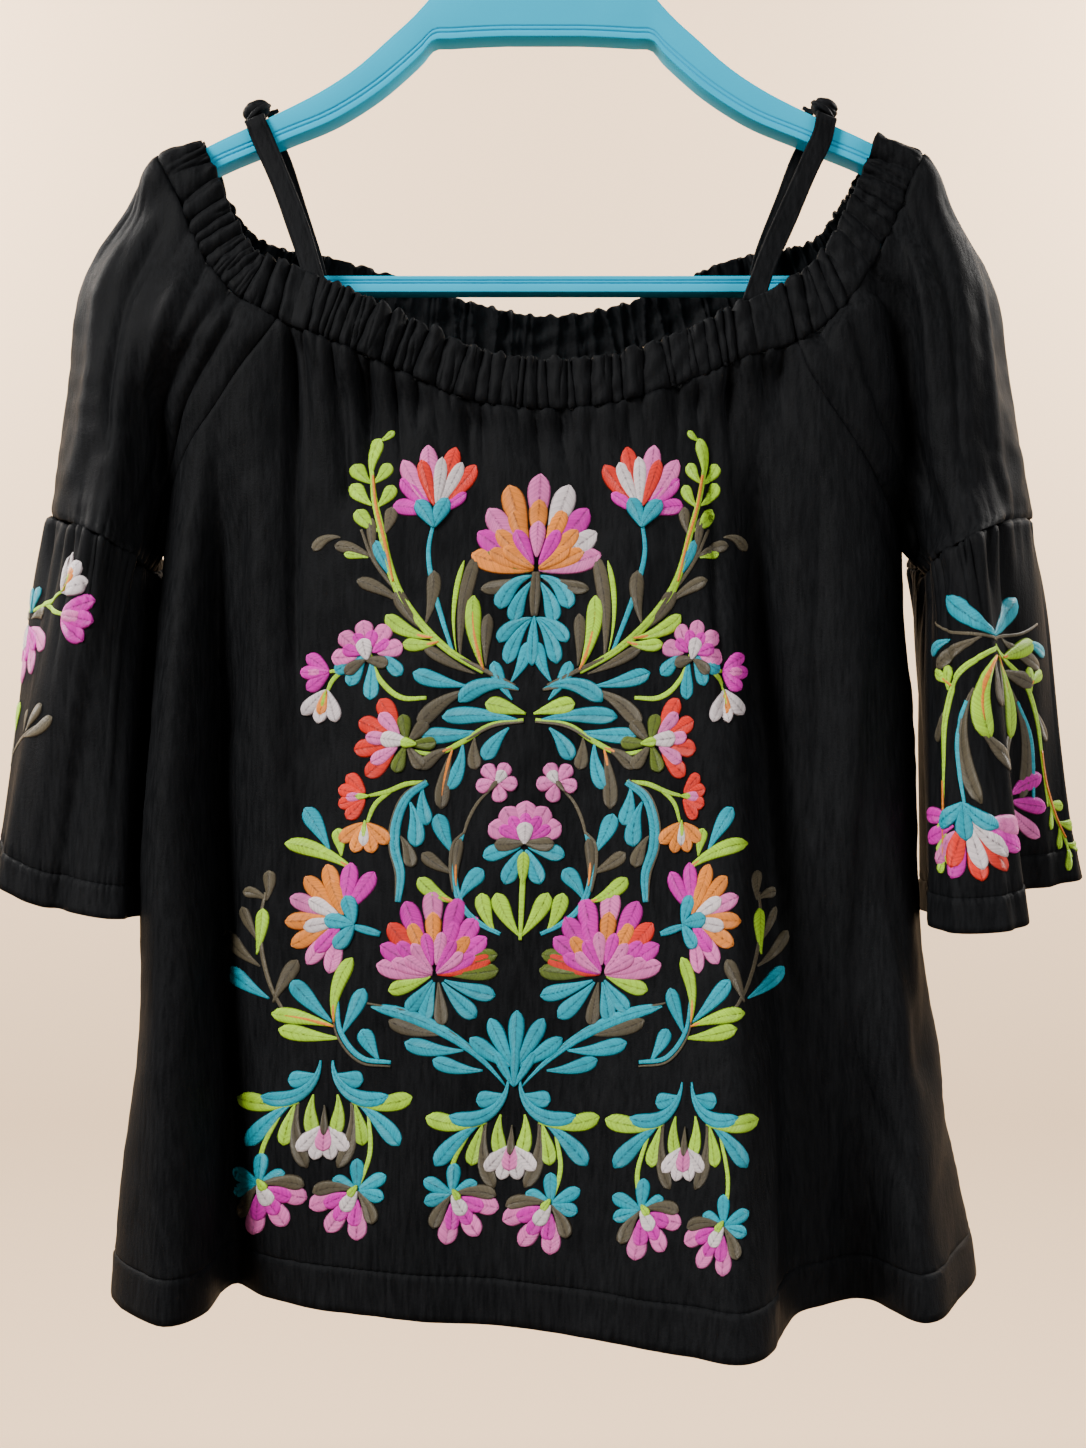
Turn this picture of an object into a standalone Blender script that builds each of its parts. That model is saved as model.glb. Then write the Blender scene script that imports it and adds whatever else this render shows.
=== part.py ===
"""A peasant blouse on a hanger: gathered neck casing, raglan sleeves with gathered flounces.

Metres, +Z up, the front faces -Y. The origin is the inside top of the hanger's hook,
where a rail carries it. Every cloth piece is a wall worked out from its seams and from a
few plan sections; each piece stops short of its seams, so that no two solids touch.
"""
from math import cos, pi, radians, sin

import bmesh
import bpy
import numpy as np
from mathutils import Matrix

# Cloth walls and the clearance that each piece keeps to a seam line.
CLOTH = 0.0016
CASING = 0.0026
SEAM_CLEAR = 0.0004
RAGLAN_CLEAR = 0.0013

# Levels of the body's plan sections, measured down from the hook.
WAIST_Z = -0.457
HIP_Z = -0.600
HEM_Z = -0.732

# Hanger.
HANGER_DEPTH = 0.013
BAR_DEPTH = 0.011
HOOK_WIRE = 0.0035
HOOK_INSIDE = 0.0225
HANGER_GAP = 0.0003

# Straps.
STRAP_WIDTH = 0.011
STRAP_THICK = 0.002
KNOT_SIZE = (0.015, 0.013, 0.009)

BLACK = (0.011, 0.011, 0.013)
TURQUOISE = (0.0, 0.55, 0.62)

# The neck, once round from the left shoulder along the front: s, top edge x y z, seam x y z.
NECK = (
    (0.00, -0.1690, 0.000, -0.1685, -0.1905, 0.000, -0.1765),
    (0.012, -0.1685, -0.0095, -0.1702, -0.1890, -0.0100, -0.1785),
    (0.03, -0.1615, -0.0105, -0.1840, -0.1798, -0.013, -0.1970),
    (0.06, -0.1519, -0.016, -0.2076, -0.1697, -0.020, -0.2211),
    (0.09, -0.1399, -0.020, -0.2264, -0.1555, -0.025, -0.2429),
    (0.13, -0.1222, -0.024, -0.2344, -0.1280, -0.030, -0.2621),
    (0.17, -0.0925, -0.029, -0.2479, -0.1005, -0.034, -0.2736),
    (0.21, -0.0614, -0.032, -0.2636, -0.0683, -0.036, -0.2884),
    (0.25, -0.0302, -0.034, -0.2779, -0.0348, -0.038, -0.3027),
    (0.29, 0.0010, -0.035, -0.2830, 0.0010, -0.039, -0.3072),
    (0.33, 0.0369, -0.034, -0.2799, 0.0376, -0.038, -0.3032),
    (0.37, 0.0730, -0.032, -0.2660, 0.0769, -0.036, -0.2904),
    (0.40, 0.0973, -0.029, -0.2536, 0.1025, -0.034, -0.2794),
    (0.42, 0.1172, -0.025, -0.2434, 0.1222, -0.030, -0.2732),
    (0.45, 0.1360, -0.020, -0.2269, 0.1466, -0.026, -0.2538),
    (0.48, 0.1485, -0.016, -0.2042, 0.1662, -0.020, -0.2225),
    (0.51, 0.1575, -0.0105, -0.1845, 0.1788, -0.013, -0.1960),
    (0.528, 0.1645, -0.0097, -0.1673, 0.1865, -0.0100, -0.1777),
    (0.54, 0.1650, 0.000, -0.1662, 0.1880, 0.000, -0.1762),
    (0.552, 0.1645, 0.0097, -0.1673, 0.1865, 0.0100, -0.1777),
    (0.57, 0.1580, 0.0110, -0.1820, 0.1815, 0.013, -0.1910),
    (0.60, 0.1500, 0.018, -0.1950, 0.1720, 0.021, -0.2110),
    (0.63, 0.1405, 0.023, -0.2070, 0.1565, 0.028, -0.2310),
    (0.66, 0.1278, 0.028, -0.2112, 0.1366, 0.034, -0.2386),
    (0.69, 0.0998, 0.032, -0.2152, 0.1074, 0.038, -0.2400),
    (0.72, 0.0742, 0.036, -0.2245, 0.0794, 0.041, -0.2489),
    (0.75, 0.0429, 0.038, -0.2370, 0.0458, 0.043, -0.2610),
    (0.78, 0.0068, 0.039, -0.2431, 0.0069, 0.044, -0.2670),
    (0.82, -0.0325, 0.038, -0.2376, -0.0342, 0.043, -0.2616),
    (0.86, -0.0747, 0.036, -0.2245, -0.0794, 0.041, -0.2485),
    (0.89, -0.1082, 0.032, -0.2152, -0.1157, 0.038, -0.2395),
    (0.92, -0.1323, 0.027, -0.2125, -0.1421, 0.033, -0.2363),
    (0.94, -0.1475, 0.022, -0.2065, -0.1620, 0.027, -0.2268),
    (0.96, -0.1580, 0.017, -0.1940, -0.1765, 0.020, -0.2090),
    (0.972, -0.1635, 0.0110, -0.1810, -0.1835, 0.013, -0.1930),
    (0.988, -0.1685, 0.0095, -0.1702, -0.1890, 0.0100, -0.1785),
    (1.00, -0.1690, 0.000, -0.1685, -0.1905, 0.000, -0.1765),
)
# Where the raglan seams run into the neck: front left, front right, back right, back left.
FRONT_LEFT, FRONT_RIGHT, BACK_RIGHT, BACK_LEFT = 0.13, 0.42, 0.66, 0.92
# The places along the neck that a sleeve's eleven lengthwise lines start from.
SLEEVE_NECK_LEFT = (0.13, 0.105, 0.08, 0.045, 0.012, 0.0, 0.988, 0.965, 0.95, 0.935, 0.92)
SLEEVE_NECK_RIGHT = (0.42, 0.445, 0.47, 0.50, 0.528, 0.54, 0.552, 0.58, 0.61, 0.64, 0.66)

# Raglan seams from the neck to the underarm: t, x, y, z.
RAGLANS = {
    "front_left": (
        (0.00, -0.1280, -0.030, -0.2621),
        (0.22, -0.1430, -0.032, -0.2818),
        (0.44, -0.1569, -0.030, -0.3020),
        (0.68, -0.1736, -0.022, -0.3238),
        (0.82, -0.1815, -0.014, -0.3400),
        (1.00, -0.1870, 0.002, -0.3673),
    ),
    "front_right": (
        (0.00, 0.1222, -0.030, -0.2732),
        (0.22, 0.1335, -0.034, -0.2976),
        (0.44, 0.1469, -0.032, -0.3164),
        (0.68, 0.1600, -0.025, -0.3350),
        (0.82, 0.1700, -0.015, -0.3510),
        (1.00, 0.1804, 0.004, -0.3700),
    ),
    "back_left": (
        (0.00, -0.1421, 0.033, -0.2363),
        (0.25, -0.1500, 0.037, -0.2680),
        (0.50, -0.1610, 0.034, -0.2990),
        (0.75, -0.1760, 0.024, -0.3270),
        (1.00, -0.1870, 0.002, -0.3673),
    ),
    "back_right": (
        (0.00, 0.1366, 0.034, -0.2386),
        (0.25, 0.1440, 0.039, -0.2700),
        (0.50, 0.1540, 0.037, -0.3010),
        (0.75, 0.1690, 0.027, -0.3330),
        (1.00, 0.1804, 0.004, -0.3700),
    ),
}

# The front's folds, left to right: u, then x y at the waist, at the hip and at the hem.
FRONT = (
    (0.000, -0.1795, 0.008, -0.1830, 0.010, -0.1980, 0.012),    # left side seam
    (0.030, -0.1905, -0.020, -0.1950, -0.024, -0.2095, -0.020),  # outline
    (0.070, -0.1770, -0.044, -0.1780, -0.058, -0.1740, -0.069),  # left pipe
    (0.100, -0.1665, -0.034, -0.1625, -0.048, -0.1590, -0.050),
    (0.125, -0.1600, -0.010, -0.1555, -0.014, -0.1520, -0.014),  # deep valley
    (0.155, -0.1480, -0.027, -0.1430, -0.032, -0.1330, -0.031),
    (0.190, -0.1335, -0.040, -0.1250, -0.045, -0.1130, -0.044),
    (0.235, -0.1165, -0.036, -0.1060, -0.047, -0.0910, -0.052),
    (0.330, -0.0780, -0.047, -0.0680, -0.056, -0.0570, -0.062),
    (0.460, -0.0220, -0.050, -0.0180, -0.062, -0.0120, -0.070),
    (0.550, 0.0230, -0.053, 0.0220, -0.070, 0.0260, -0.085),
    (0.630, 0.0640, -0.055, 0.0640, -0.080, 0.0640, -0.104),
    (0.675, 0.0900, -0.052, 0.0900, -0.086, 0.0900, -0.110),     # panel's right edge
    (0.695, 0.0990, -0.038, 0.1010, -0.072, 0.1035, -0.094),
    (0.720, 0.1065, -0.020, 0.1090, -0.046, 0.1130, -0.060),     # right recess
    (0.760, 0.1220, -0.034, 0.1270, -0.040, 0.1340, -0.042),
    (0.830, 0.1460, -0.039, 0.1490, -0.038, 0.1570, -0.034),
    (0.900, 0.1660, -0.028, 0.1710, -0.042, 0.1770, -0.065),     # right pipe
    (0.950, 0.1770, -0.014, 0.1840, -0.024, 0.1970, -0.038),
    (0.980, 0.1835, -0.001, 0.1930, 0.000, 0.2160, 0.004),
    (1.000, 0.1830, 0.014, 0.1930, 0.020, 0.2215, 0.028),        # right side seam
)
# The back's folds, left to right as seen from the front.
BACK = (
    (0.00, -0.1795, 0.008, -0.1830, 0.010, -0.1980, 0.012),
    (0.06, -0.1860, 0.030, -0.1900, 0.034, -0.2030, 0.036),
    (0.12, -0.1740, 0.048, -0.1740, 0.056, -0.1800, 0.064),
    (0.19, -0.1480, 0.040, -0.1480, 0.040, -0.1480, 0.036),
    (0.27, -0.1150, 0.048, -0.1150, 0.056, -0.1120, 0.062),
    (0.36, -0.0720, 0.048, -0.0720, 0.052, -0.0700, 0.056),
    (0.43, -0.0370, 0.044, -0.0380, 0.044, -0.0360, 0.040),
    (0.52, 0.0050, 0.050, 0.0050, 0.056, 0.0060, 0.062),
    (0.60, 0.0450, 0.051, 0.0450, 0.060, 0.0480, 0.068),
    (0.68, 0.0850, 0.044, 0.0860, 0.044, 0.0880, 0.040),
    (0.76, 0.1180, 0.048, 0.1220, 0.058, 0.1280, 0.066),
    (0.84, 0.1450, 0.046, 0.1500, 0.050, 0.1600, 0.052),
    (0.91, 0.1680, 0.042, 0.1760, 0.052, 0.1960, 0.064),
    (0.96, 0.1800, 0.030, 0.1880, 0.038, 0.2150, 0.052),
    (1.00, 0.1830, 0.014, 0.1930, 0.020, 0.2215, 0.028),
)
# Shares of a body panel's top edge that its two raglans and its neck seam take.
RAGLAN_SHARE = 0.22

# Sleeve sections from the armhole's front round to the outside, x y z for each of five
# places; the first place of all is on the raglan seam. t is how far down the raglan.
SLEEVE_LEFT = (
    (0.22, (-0.1570, -0.034, -0.2756), (-0.1764, -0.033, -0.2720), (-0.1961, -0.031, -0.2638),
     (-0.2165, -0.021, -0.2500), (-0.2315, 0.000, -0.2400)),
    (0.44, (-0.1732, -0.028, -0.3003), (-0.1900, -0.020, -0.2970), (-0.2020, -0.033, -0.2961),
     (-0.2186, -0.027, -0.2901), (-0.2355, 0.000, -0.2800)),
    (0.70, (-0.1835, -0.014, -0.3281), (-0.1920, -0.010, -0.3266), (-0.2015, -0.038, -0.3278),
     (-0.2209, -0.030, -0.3218), (-0.2395, 0.000, -0.3130)),
    (1.00, (-0.1935, -0.002, -0.3668), (-0.1970, -0.026, -0.3656), (-0.2060, -0.045, -0.3601),
     (-0.2245, -0.033, -0.3511), (-0.2434, 0.003, -0.3396)),
)
RING_LEFT = ((-0.1950, 0.002, -0.3820), (-0.1960, -0.014, -0.3790), (-0.1970, -0.034, -0.3750),
             (-0.2070, -0.048, -0.3683), (-0.2255, -0.034, -0.3606), (-0.2455, 0.005, -0.3534))
SLEEVE_RIGHT = (
    (0.22, (0.1494, -0.034, -0.2732), (0.1775, -0.018, -0.2610), (0.1870, -0.031, -0.2612),
     (0.2090, -0.024, -0.2530), (0.2265, 0.000, -0.2440)),
    (0.44, (0.1590, -0.030, -0.2996), (0.1805, -0.014, -0.2930), (0.1895, -0.034, -0.2961),
     (0.2100, -0.030, -0.2919), (0.2315, 0.000, -0.2810)),
    (0.70, (0.1730, -0.018, -0.3255), (0.1845, -0.010, -0.3230), (0.1905, -0.036, -0.3262),
     (0.2120, -0.034, -0.3233), (0.2365, 0.000, -0.3130)),
    (1.00, (0.1870, 0.000, -0.3690), (0.1910, -0.026, -0.3675), (0.1995, -0.046, -0.3649),
     (0.2200, -0.034, -0.3555), (0.2434, 0.003, -0.3446)),
)
RING_RIGHT = ((0.1930, 0.004, -0.3840), (0.1915, -0.014, -0.3790), (0.1905, -0.034, -0.3750),
              (0.1990, -0.049, -0.3693), (0.2190, -0.036, -0.3605), (0.2455, 0.005, -0.3539))

# Flounce hems, once round from the inside along the front: s, x, y, z.
FLOUNCE_LEFT = (
    (0.00, -0.1880, 0.004, -0.5520),
    (0.06, -0.1960, -0.024, -0.5500),
    (0.12, -0.1995, -0.046, -0.5490),
    (0.20, -0.2140, -0.050, -0.5470),
    (0.27, -0.2310, -0.036, -0.5450),
    (0.34, -0.2450, -0.035, -0.5430),
    (0.42, -0.2640, -0.018, -0.5360),
    (0.50, -0.2740, 0.010, -0.5290),
    (0.58, -0.2680, 0.034, -0.5330),
    (0.66, -0.2500, 0.048, -0.5400),
    (0.74, -0.2320, 0.040, -0.5450),
    (0.82, -0.2130, 0.058, -0.5480),
    (0.90, -0.1970, 0.054, -0.5500),
    (0.96, -0.1900, 0.030, -0.5510),
    (1.00, -0.1880, 0.004, -0.5520),
)
FLOUNCE_RIGHT = (
    (0.00, 0.1970, 0.012, -0.5530),
    (0.05, 0.1870, -0.020, -0.5535),
    (0.11, 0.1905, -0.044, -0.5550),
    (0.19, 0.2030, -0.053, -0.5550),
    (0.27, 0.2200, -0.050, -0.5535),
    (0.33, 0.2315, -0.036, -0.5510),
    (0.38, 0.2340, -0.010, -0.5410),
    (0.44, 0.2540, -0.002, -0.5380),
    (0.50, 0.2700, 0.006, -0.5360),
    (0.57, 0.2740, 0.026, -0.5350),
    (0.65, 0.2580, 0.046, -0.5400),
    (0.73, 0.2390, 0.038, -0.5450),
    (0.81, 0.2220, 0.060, -0.5490),
    (0.90, 0.2040, 0.056, -0.5520),
    (0.96, 0.1980, 0.036, -0.5530),
    (1.00, 0.1970, 0.012, -0.5530),
)
# How far the gathers push a flounce out just below its seam.
FLOUNCE_PUFF = 0.005

# The hanger's left arm: upper edge x z, lower edge x z, from the plate to the tip.
ARM = (
    (-0.0543, -0.0950, -0.0543, -0.1180),
    (-0.0640, -0.1060, -0.0600, -0.1245),
    (-0.0760, -0.1170, -0.0695, -0.1335),
    (-0.0905, -0.1300, -0.0815, -0.1435),
    (-0.1080, -0.1420, -0.1015, -0.1562),
    (-0.1330, -0.1550, -0.1270, -0.1670),
    (-0.1675, -0.1715, -0.1620, -0.1815),
    (-0.1825, -0.1800, -0.1770, -0.1893),
    (-0.1880, -0.1845, -0.1835, -0.1930),
    (-0.1922, -0.1892, -0.1885, -0.1958),
)
# The bar's left half: outer edge x z, inner edge x z, from under the arm's tip to the middle.
BAR = (
    (-0.1892, -0.1968, -0.1826, -0.1932),
    (-0.1900, -0.2110, -0.1818, -0.2100),
    (-0.1850, -0.2290, -0.1782, -0.2235),
    (-0.1720, -0.2410, -0.1680, -0.2335),
    (-0.1480, -0.2425, -0.1480, -0.2345),
    (-0.0700, -0.2425, -0.0700, -0.2345),
)
# Right half of the plate's outline: x z.
PLATE = (
    (0.0540, -0.1180), (0.0540, -0.0950), (0.0460, -0.0830), (0.0380, -0.0725),
    (0.0290, -0.0650), (0.0180, -0.0610),
)

# Straps from inside the front casing over the arm to inside the back casing: x, y, z.
STRAP_LEFT = (
    (-0.1074, -0.0240, -0.2568), (-0.1125, -0.0205, -0.2368), (-0.1184, -0.0168, -0.2182),
    (-0.1274, -0.0130, -0.1938), (-0.1380, -0.0095, -0.1690), (-0.1418, -0.0092, -0.1600),
    (-0.1430, -0.0062, -0.1568), (-0.1430, 0.0062, -0.1568), (-0.1405, 0.0092, -0.1602),
    (-0.1340, 0.0098, -0.1690), (-0.1272, 0.0140, -0.1899), (-0.1200, 0.0220, -0.2130),
    (-0.1160, 0.0280, -0.2310),
)
STRAP_RIGHT = (
    (0.1016, -0.0240, -0.2530), (0.1090, -0.0200, -0.2320), (0.1200, -0.0160, -0.2071),
    (0.1310, -0.0122, -0.1820), (0.1375, -0.0095, -0.1680), (0.1398, -0.0092, -0.1588),
    (0.1405, -0.0062, -0.1556), (0.1405, 0.0062, -0.1556), (0.1380, 0.0092, -0.1592),
    (0.1315, 0.0098, -0.1700), (0.1240, 0.0140, -0.1889), (0.1150, 0.0220, -0.2130),
    (0.1105, 0.0285, -0.2310),
)
STRAP_TILT = radians(23)
KNOTS = {"left": (-0.1430, 0.000, -0.1508), "right": (0.1405, 0.000, -0.1496)}


def clear_scene():
    for thing in list(bpy.data.objects):
        bpy.data.objects.remove(thing, do_unlink=True)


def material(name, colour, roughness):
    finish = bpy.data.materials.new(name)
    finish.use_nodes = True
    shader = finish.node_tree.nodes["Principled BSDF"]
    shader.inputs["Base Color"].default_value = (*colour, 1.0)
    shader.inputs["Roughness"].default_value = roughness
    shader.inputs["Metallic"].default_value = 0.0
    finish.diffuse_color = (*colour, 1.0)
    return finish


def add_object(name, data, colour, roughness):
    thing = bpy.data.objects.new(name, data)
    bpy.context.scene.collection.objects.link(thing)
    data.materials.append(material(name, colour, roughness))
    return thing


def smooth(rows, at):
    """Values of a table at the given places of its first column, on one smooth curve.

    rows may hold one table, or an array whose later axes are carried along.
    """
    rows = np.asarray(rows, float)
    knots, values = rows[:, 0], rows[:, 1:]
    return hermite(knots, values, at)


def hermite(knots, values, at):
    knots = np.asarray(knots, float)
    values = np.asarray(values, float)
    steps = np.diff(knots)
    slopes = np.diff(values, axis=0) / steps.reshape((-1,) + (1,) * (values.ndim - 1))
    tangents = np.empty_like(values)
    tangents[0], tangents[-1] = slopes[0], slopes[-1]
    for k in range(1, len(knots) - 1):
        before, after = steps[k - 1], steps[k]
        tangents[k] = (slopes[k - 1] * after + slopes[k] * before) / (before + after)
    at = np.clip(np.atleast_1d(at), knots[0], knots[-1])
    cell = np.clip(np.searchsorted(knots, at, side="right") - 1, 0, len(steps) - 1)
    shape = (-1,) + (1,) * (values.ndim - 1)
    h = steps[cell].reshape(shape)
    t = ((at - knots[cell]) / steps[cell]).reshape(shape)
    return (values[cell] * (2 * t**3 - 3 * t**2 + 1) + tangents[cell] * h * (t**3 - 2 * t**2 + t)
            + values[cell + 1] * (3 * t**2 - 2 * t**3) + tangents[cell + 1] * h * (t**3 - t**2))


def neck_edge(s):
    return smooth(NECK, np.mod(s, 1.0))[:, :3]


def neck_seam(s):
    return smooth(NECK, np.mod(s, 1.0))[:, 3:]


def raglan(name, t):
    return smooth(RAGLANS[name], t)


def panel_top(u, side, start, end):
    """The top edge of the front or the back: up one raglan, along the neck, down the other."""
    u = np.asarray(u, float)
    left = raglan(side + "_left", 1.0 - u / RAGLAN_SHARE)
    right = raglan(side + "_right", (u - 1.0) / RAGLAN_SHARE + 1.0)
    middle = neck_seam(start + (end - start) * (u - RAGLAN_SHARE) / (1.0 - 2 * RAGLAN_SHARE))
    in_left = (u < RAGLAN_SHARE)[:, None]
    in_right = (u > 1.0 - RAGLAN_SHARE)[:, None]
    return np.where(in_left, left, np.where(in_right, right, middle))


def body_panel(folds, side, start, end, columns, rows):
    """A grid of points, rows down the panel, from its top edge through its plan sections."""
    u = np.unique(np.concatenate((np.linspace(0.0, 1.0, columns),
                                  [RAGLAN_SHARE, 1.0 - RAGLAN_SHARE])))
    top = panel_top(u, side, start, end)
    plans = smooth(folds, u).reshape(len(u), 3, 2)
    grid = np.empty((rows, len(u), 3))
    down = np.linspace(0.0, 1.0, rows)
    for j in range(len(u)):
        levels = [top[j, 2], WAIST_Z, HIP_Z, HEM_Z]
        plan = np.vstack((top[j, :2], plans[j]))
        z = top[j, 2] + (HEM_Z - top[j, 2]) * down
        grid[:, j, :2] = hermite([-level for level in levels], plan, -z)
        grid[:, j, 2] = z
    return grid


def mirrored_back(point):
    return (point[0], -point[1], point[2])


def sleeve_sections(sections, ring, side, neck_at):
    """Eleven places round the sleeve at each level, from the neck seam to the flounce seam."""
    front, back = "front_" + side, "back_" + side
    levels = [neck_seam(neck_at)]
    for t, *places in sections:
        outside = [np.array(place) for place in places]
        inside = [np.array(mirrored_back(place)) for place in reversed(places[:-1])]
        levels.append(np.vstack([raglan(front, t), outside, inside, raglan(back, t)]))
    places = [np.array(place) for place in ring]
    turned = [np.array(mirrored_back(place)) for place in reversed(ring[1:-1])]
    levels.append(np.vstack([places, turned, places[:1]]))
    return np.array(levels)


def sleeve_grid(sections, ring, side, neck_at, columns, rows):
    levels = sleeve_sections(sections, ring, side, neck_at)
    down = [0.0] + [0.2 + 0.72 * section[0] for section in sections[:-1]] + [0.93, 1.0]
    round_at = np.linspace(0.0, 1.0, levels.shape[1])
    lofted = hermite(down, levels, rows)
    return np.stack([hermite(round_at, section, columns) for section in lofted])


def flounce_grid(ring_line, hem, rows):
    """From the flounce seam down to the waved hem, puffed out below the gathers."""
    hem_line = smooth(hem, np.linspace(0.0, 1.0, len(ring_line)))
    centre = ring_line[:-1].mean(axis=0)
    outward = ring_line - centre
    outward[:, 2] = 0.0
    outward /= np.linalg.norm(outward, axis=1)[:, None]
    grid = []
    for v in np.linspace(0.0, 1.0, rows):
        puff = FLOUNCE_PUFF * sin(pi * v**0.6) * (1.0 - v)
        grid.append(ring_line * (1.0 - v) + hem_line * v + outward * puff)
    return np.array(grid)


def pull_back(grid, edge, clear=SEAM_CLEAR):
    """Moves one edge of a grid inwards, square to the edge, so that it clears its seam."""
    turned = {"top": grid, "bottom": grid[::-1],
              "first": grid.transpose(1, 0, 2), "last": grid[:, ::-1].transpose(1, 0, 2)}[edge]
    line, inner = turned[0].copy(), turned[1]
    along = np.gradient(line, axis=0)
    along /= np.linalg.norm(along, axis=1)[:, None]
    inwards = inner - line
    inwards -= along * np.sum(inwards * along, axis=1)[:, None]
    inwards /= np.linalg.norm(inwards, axis=1)[:, None]
    turned[0] = line + inwards * clear


def grid_mesh(name, grid, ring_from=None):
    """A mesh of quads; from row ring_from on, the last column is the first one again."""
    rows, columns = grid.shape[:2]
    ring_from = rows if ring_from is None else ring_from
    index = np.arange(rows * columns).reshape(rows, columns)
    index[ring_from:, -1] = index[ring_from:, 0]
    faces = [(index[i, j], index[i + 1, j], index[i + 1, j + 1], index[i, j + 1])
             for i in range(rows - 1) for j in range(columns - 1)]
    used = sorted({corner for face in faces for corner in face})
    place = {old: new for new, old in enumerate(used)}
    points = grid.reshape(-1, 3)[used]
    mesh = bpy.data.meshes.new(name)
    mesh.from_pydata([tuple(p) for p in points], [],
                     [tuple(place[corner] for corner in face) for face in faces])
    return mesh


def cloth(name, grid, wall=CLOTH, ring_from=None, turned=False):
    """A cloth wall, half its thickness to each side of the grid."""
    mesh = grid_mesh(name, grid[:, ::-1] if turned else grid, ring_from)
    mesh.shade_smooth()
    thing = add_object(name, mesh, BLACK, 0.8)
    thickness = thing.modifiers.new("wall", "SOLIDIFY")
    thickness.thickness = wall
    thickness.offset = 0.0
    thickness.use_rim = True
    return thing


def make_front():
    grid = body_panel(FRONT, "front", FRONT_LEFT, FRONT_RIGHT, 37, 15)
    for edge in ("first", "last", "top"):
        pull_back(grid, edge)
    cloth("front", grid)


def make_back():
    grid = body_panel(BACK, "back", BACK_LEFT, BACK_RIGHT, 27, 12)
    for edge in ("first", "last", "top"):
        pull_back(grid, edge)
    cloth("back", grid, turned=True)


def make_sleeve(side, sections, ring, hem, neck_at):
    """A sleeve and the flounce gathered onto its end."""
    columns = np.linspace(0.0, 1.0, 21)
    rows = np.concatenate((np.linspace(0.0, 0.93, 9), [1.0]))
    grid = sleeve_grid(sections, ring, side, neck_at, columns, rows)
    ring_line = grid[-1].copy()
    underarm_row = len(rows) - 2
    for edge in ("first", "last"):
        pull_back(grid, edge, RAGLAN_CLEAR)
    for edge in ("top", "bottom"):
        pull_back(grid, edge)
    grid[-1, -1] = grid[-1, 0] = (grid[-1, 0] + grid[-1, -1]) / 2
    grid[underarm_row, 0] = (grid[underarm_row, 0] + grid[underarm_row, -1]) / 2
    cloth(side + "_sleeve", grid, ring_from=underarm_row)

    flounce = flounce_grid(ring_line, hem, 6)
    pull_back(flounce, "top")
    flounce[:, -1] = flounce[:, 0]
    cloth(side + "_flounce", flounce, ring_from=0)


def make_casing(name, start, end, columns):
    """One length of the gathered neck casing, rounded a little between edge and seam."""
    s = np.linspace(start, end, columns)
    edge, seam = neck_edge(s), neck_seam(s)
    middle = (edge + seam) / 2
    outward = middle * (0.0, 1.0, 0.0) + (0.0, 0.0, 0.004)
    outward /= np.linalg.norm(outward, axis=1)[:, None]
    grid = np.array([edge, middle + outward * 0.0012, seam])
    pull_back(grid, "bottom", SEAM_CLEAR + 0.0004)
    for side in ("first", "last"):
        pull_back(grid, side)
    cloth(name, grid, wall=CASING)


def make_strap(name, path, tilt):
    """A flat strap swept along its path, its width square to the hanger's arm."""
    path = np.array(path)
    wide = np.array((cos(tilt), 0.0, sin(tilt))) * STRAP_WIDTH / 2
    along = np.gradient(path, axis=0)
    out = np.cross(along, wide)
    out *= STRAP_THICK / 2 / np.linalg.norm(out, axis=1)[:, None]
    ring = [path + wide + out, path - wide + out, path - wide - out, path + wide - out]
    grid = np.stack(ring, axis=1)
    mesh = bpy.data.meshes.new(name)
    count = len(path)
    faces = [(4 * i + j, 4 * i + (j + 1) % 4, 4 * i + 4 + (j + 1) % 4, 4 * i + 4 + j)
             for i in range(count - 1) for j in range(4)]
    faces += [(3, 2, 1, 0), tuple(4 * (count - 1) + j for j in range(4))]
    mesh.from_pydata([tuple(p) for p in grid.reshape(-1, 3)], [], faces)
    outward_faces(mesh)
    add_object(name, mesh, BLACK, 0.7)


def outward_faces(mesh):
    bm = bmesh.new()
    bm.from_mesh(mesh)
    bmesh.ops.recalc_face_normals(bm, faces=bm.faces)
    bm.to_mesh(mesh)
    bm.free()


def make_knot(side, tilt):
    """The knot on top of the arm, tilted with it."""
    bm = bmesh.new()
    bmesh.ops.create_uvsphere(bm, u_segments=14, v_segments=8, radius=0.5)
    bmesh.ops.scale(bm, vec=KNOT_SIZE, verts=bm.verts)
    bmesh.ops.rotate(bm, matrix=Matrix.Rotation(-tilt, 3, "Y"), verts=bm.verts)
    mesh = bpy.data.meshes.new(side + "_strap_knot")
    bm.to_mesh(mesh)
    bm.free()
    mesh.shade_smooth()
    knot = add_object(side + "_strap_knot", mesh, BLACK, 0.7)
    knot.location = KNOTS[side]


def extruded(name, outline, depth):
    """A flat outline in X and Z, extruded half its depth to the front and to the back."""
    bm = bmesh.new()
    corners = [bm.verts.new((x, -depth / 2, z)) for x, z in outline]
    face = bm.faces.new(corners)
    pushed = bmesh.ops.extrude_face_region(bm, geom=[face])["geom"]
    moved = [item for item in pushed if isinstance(item, bmesh.types.BMVert)]
    bmesh.ops.translate(bm, vec=(0.0, depth, 0.0), verts=moved)
    bmesh.ops.recalc_face_normals(bm, faces=bm.faces)
    mesh = bpy.data.meshes.new(name)
    bm.to_mesh(mesh)
    bm.free()
    thing = add_object(name, mesh, TURQUOISE, 0.3)
    bevel = thing.modifiers.new("rounded edges", "BEVEL")
    bevel.width = 0.0012
    bevel.segments = 1
    bevel.limit_method = "ANGLE"
    bevel.angle_limit = radians(50)
    return thing


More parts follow.
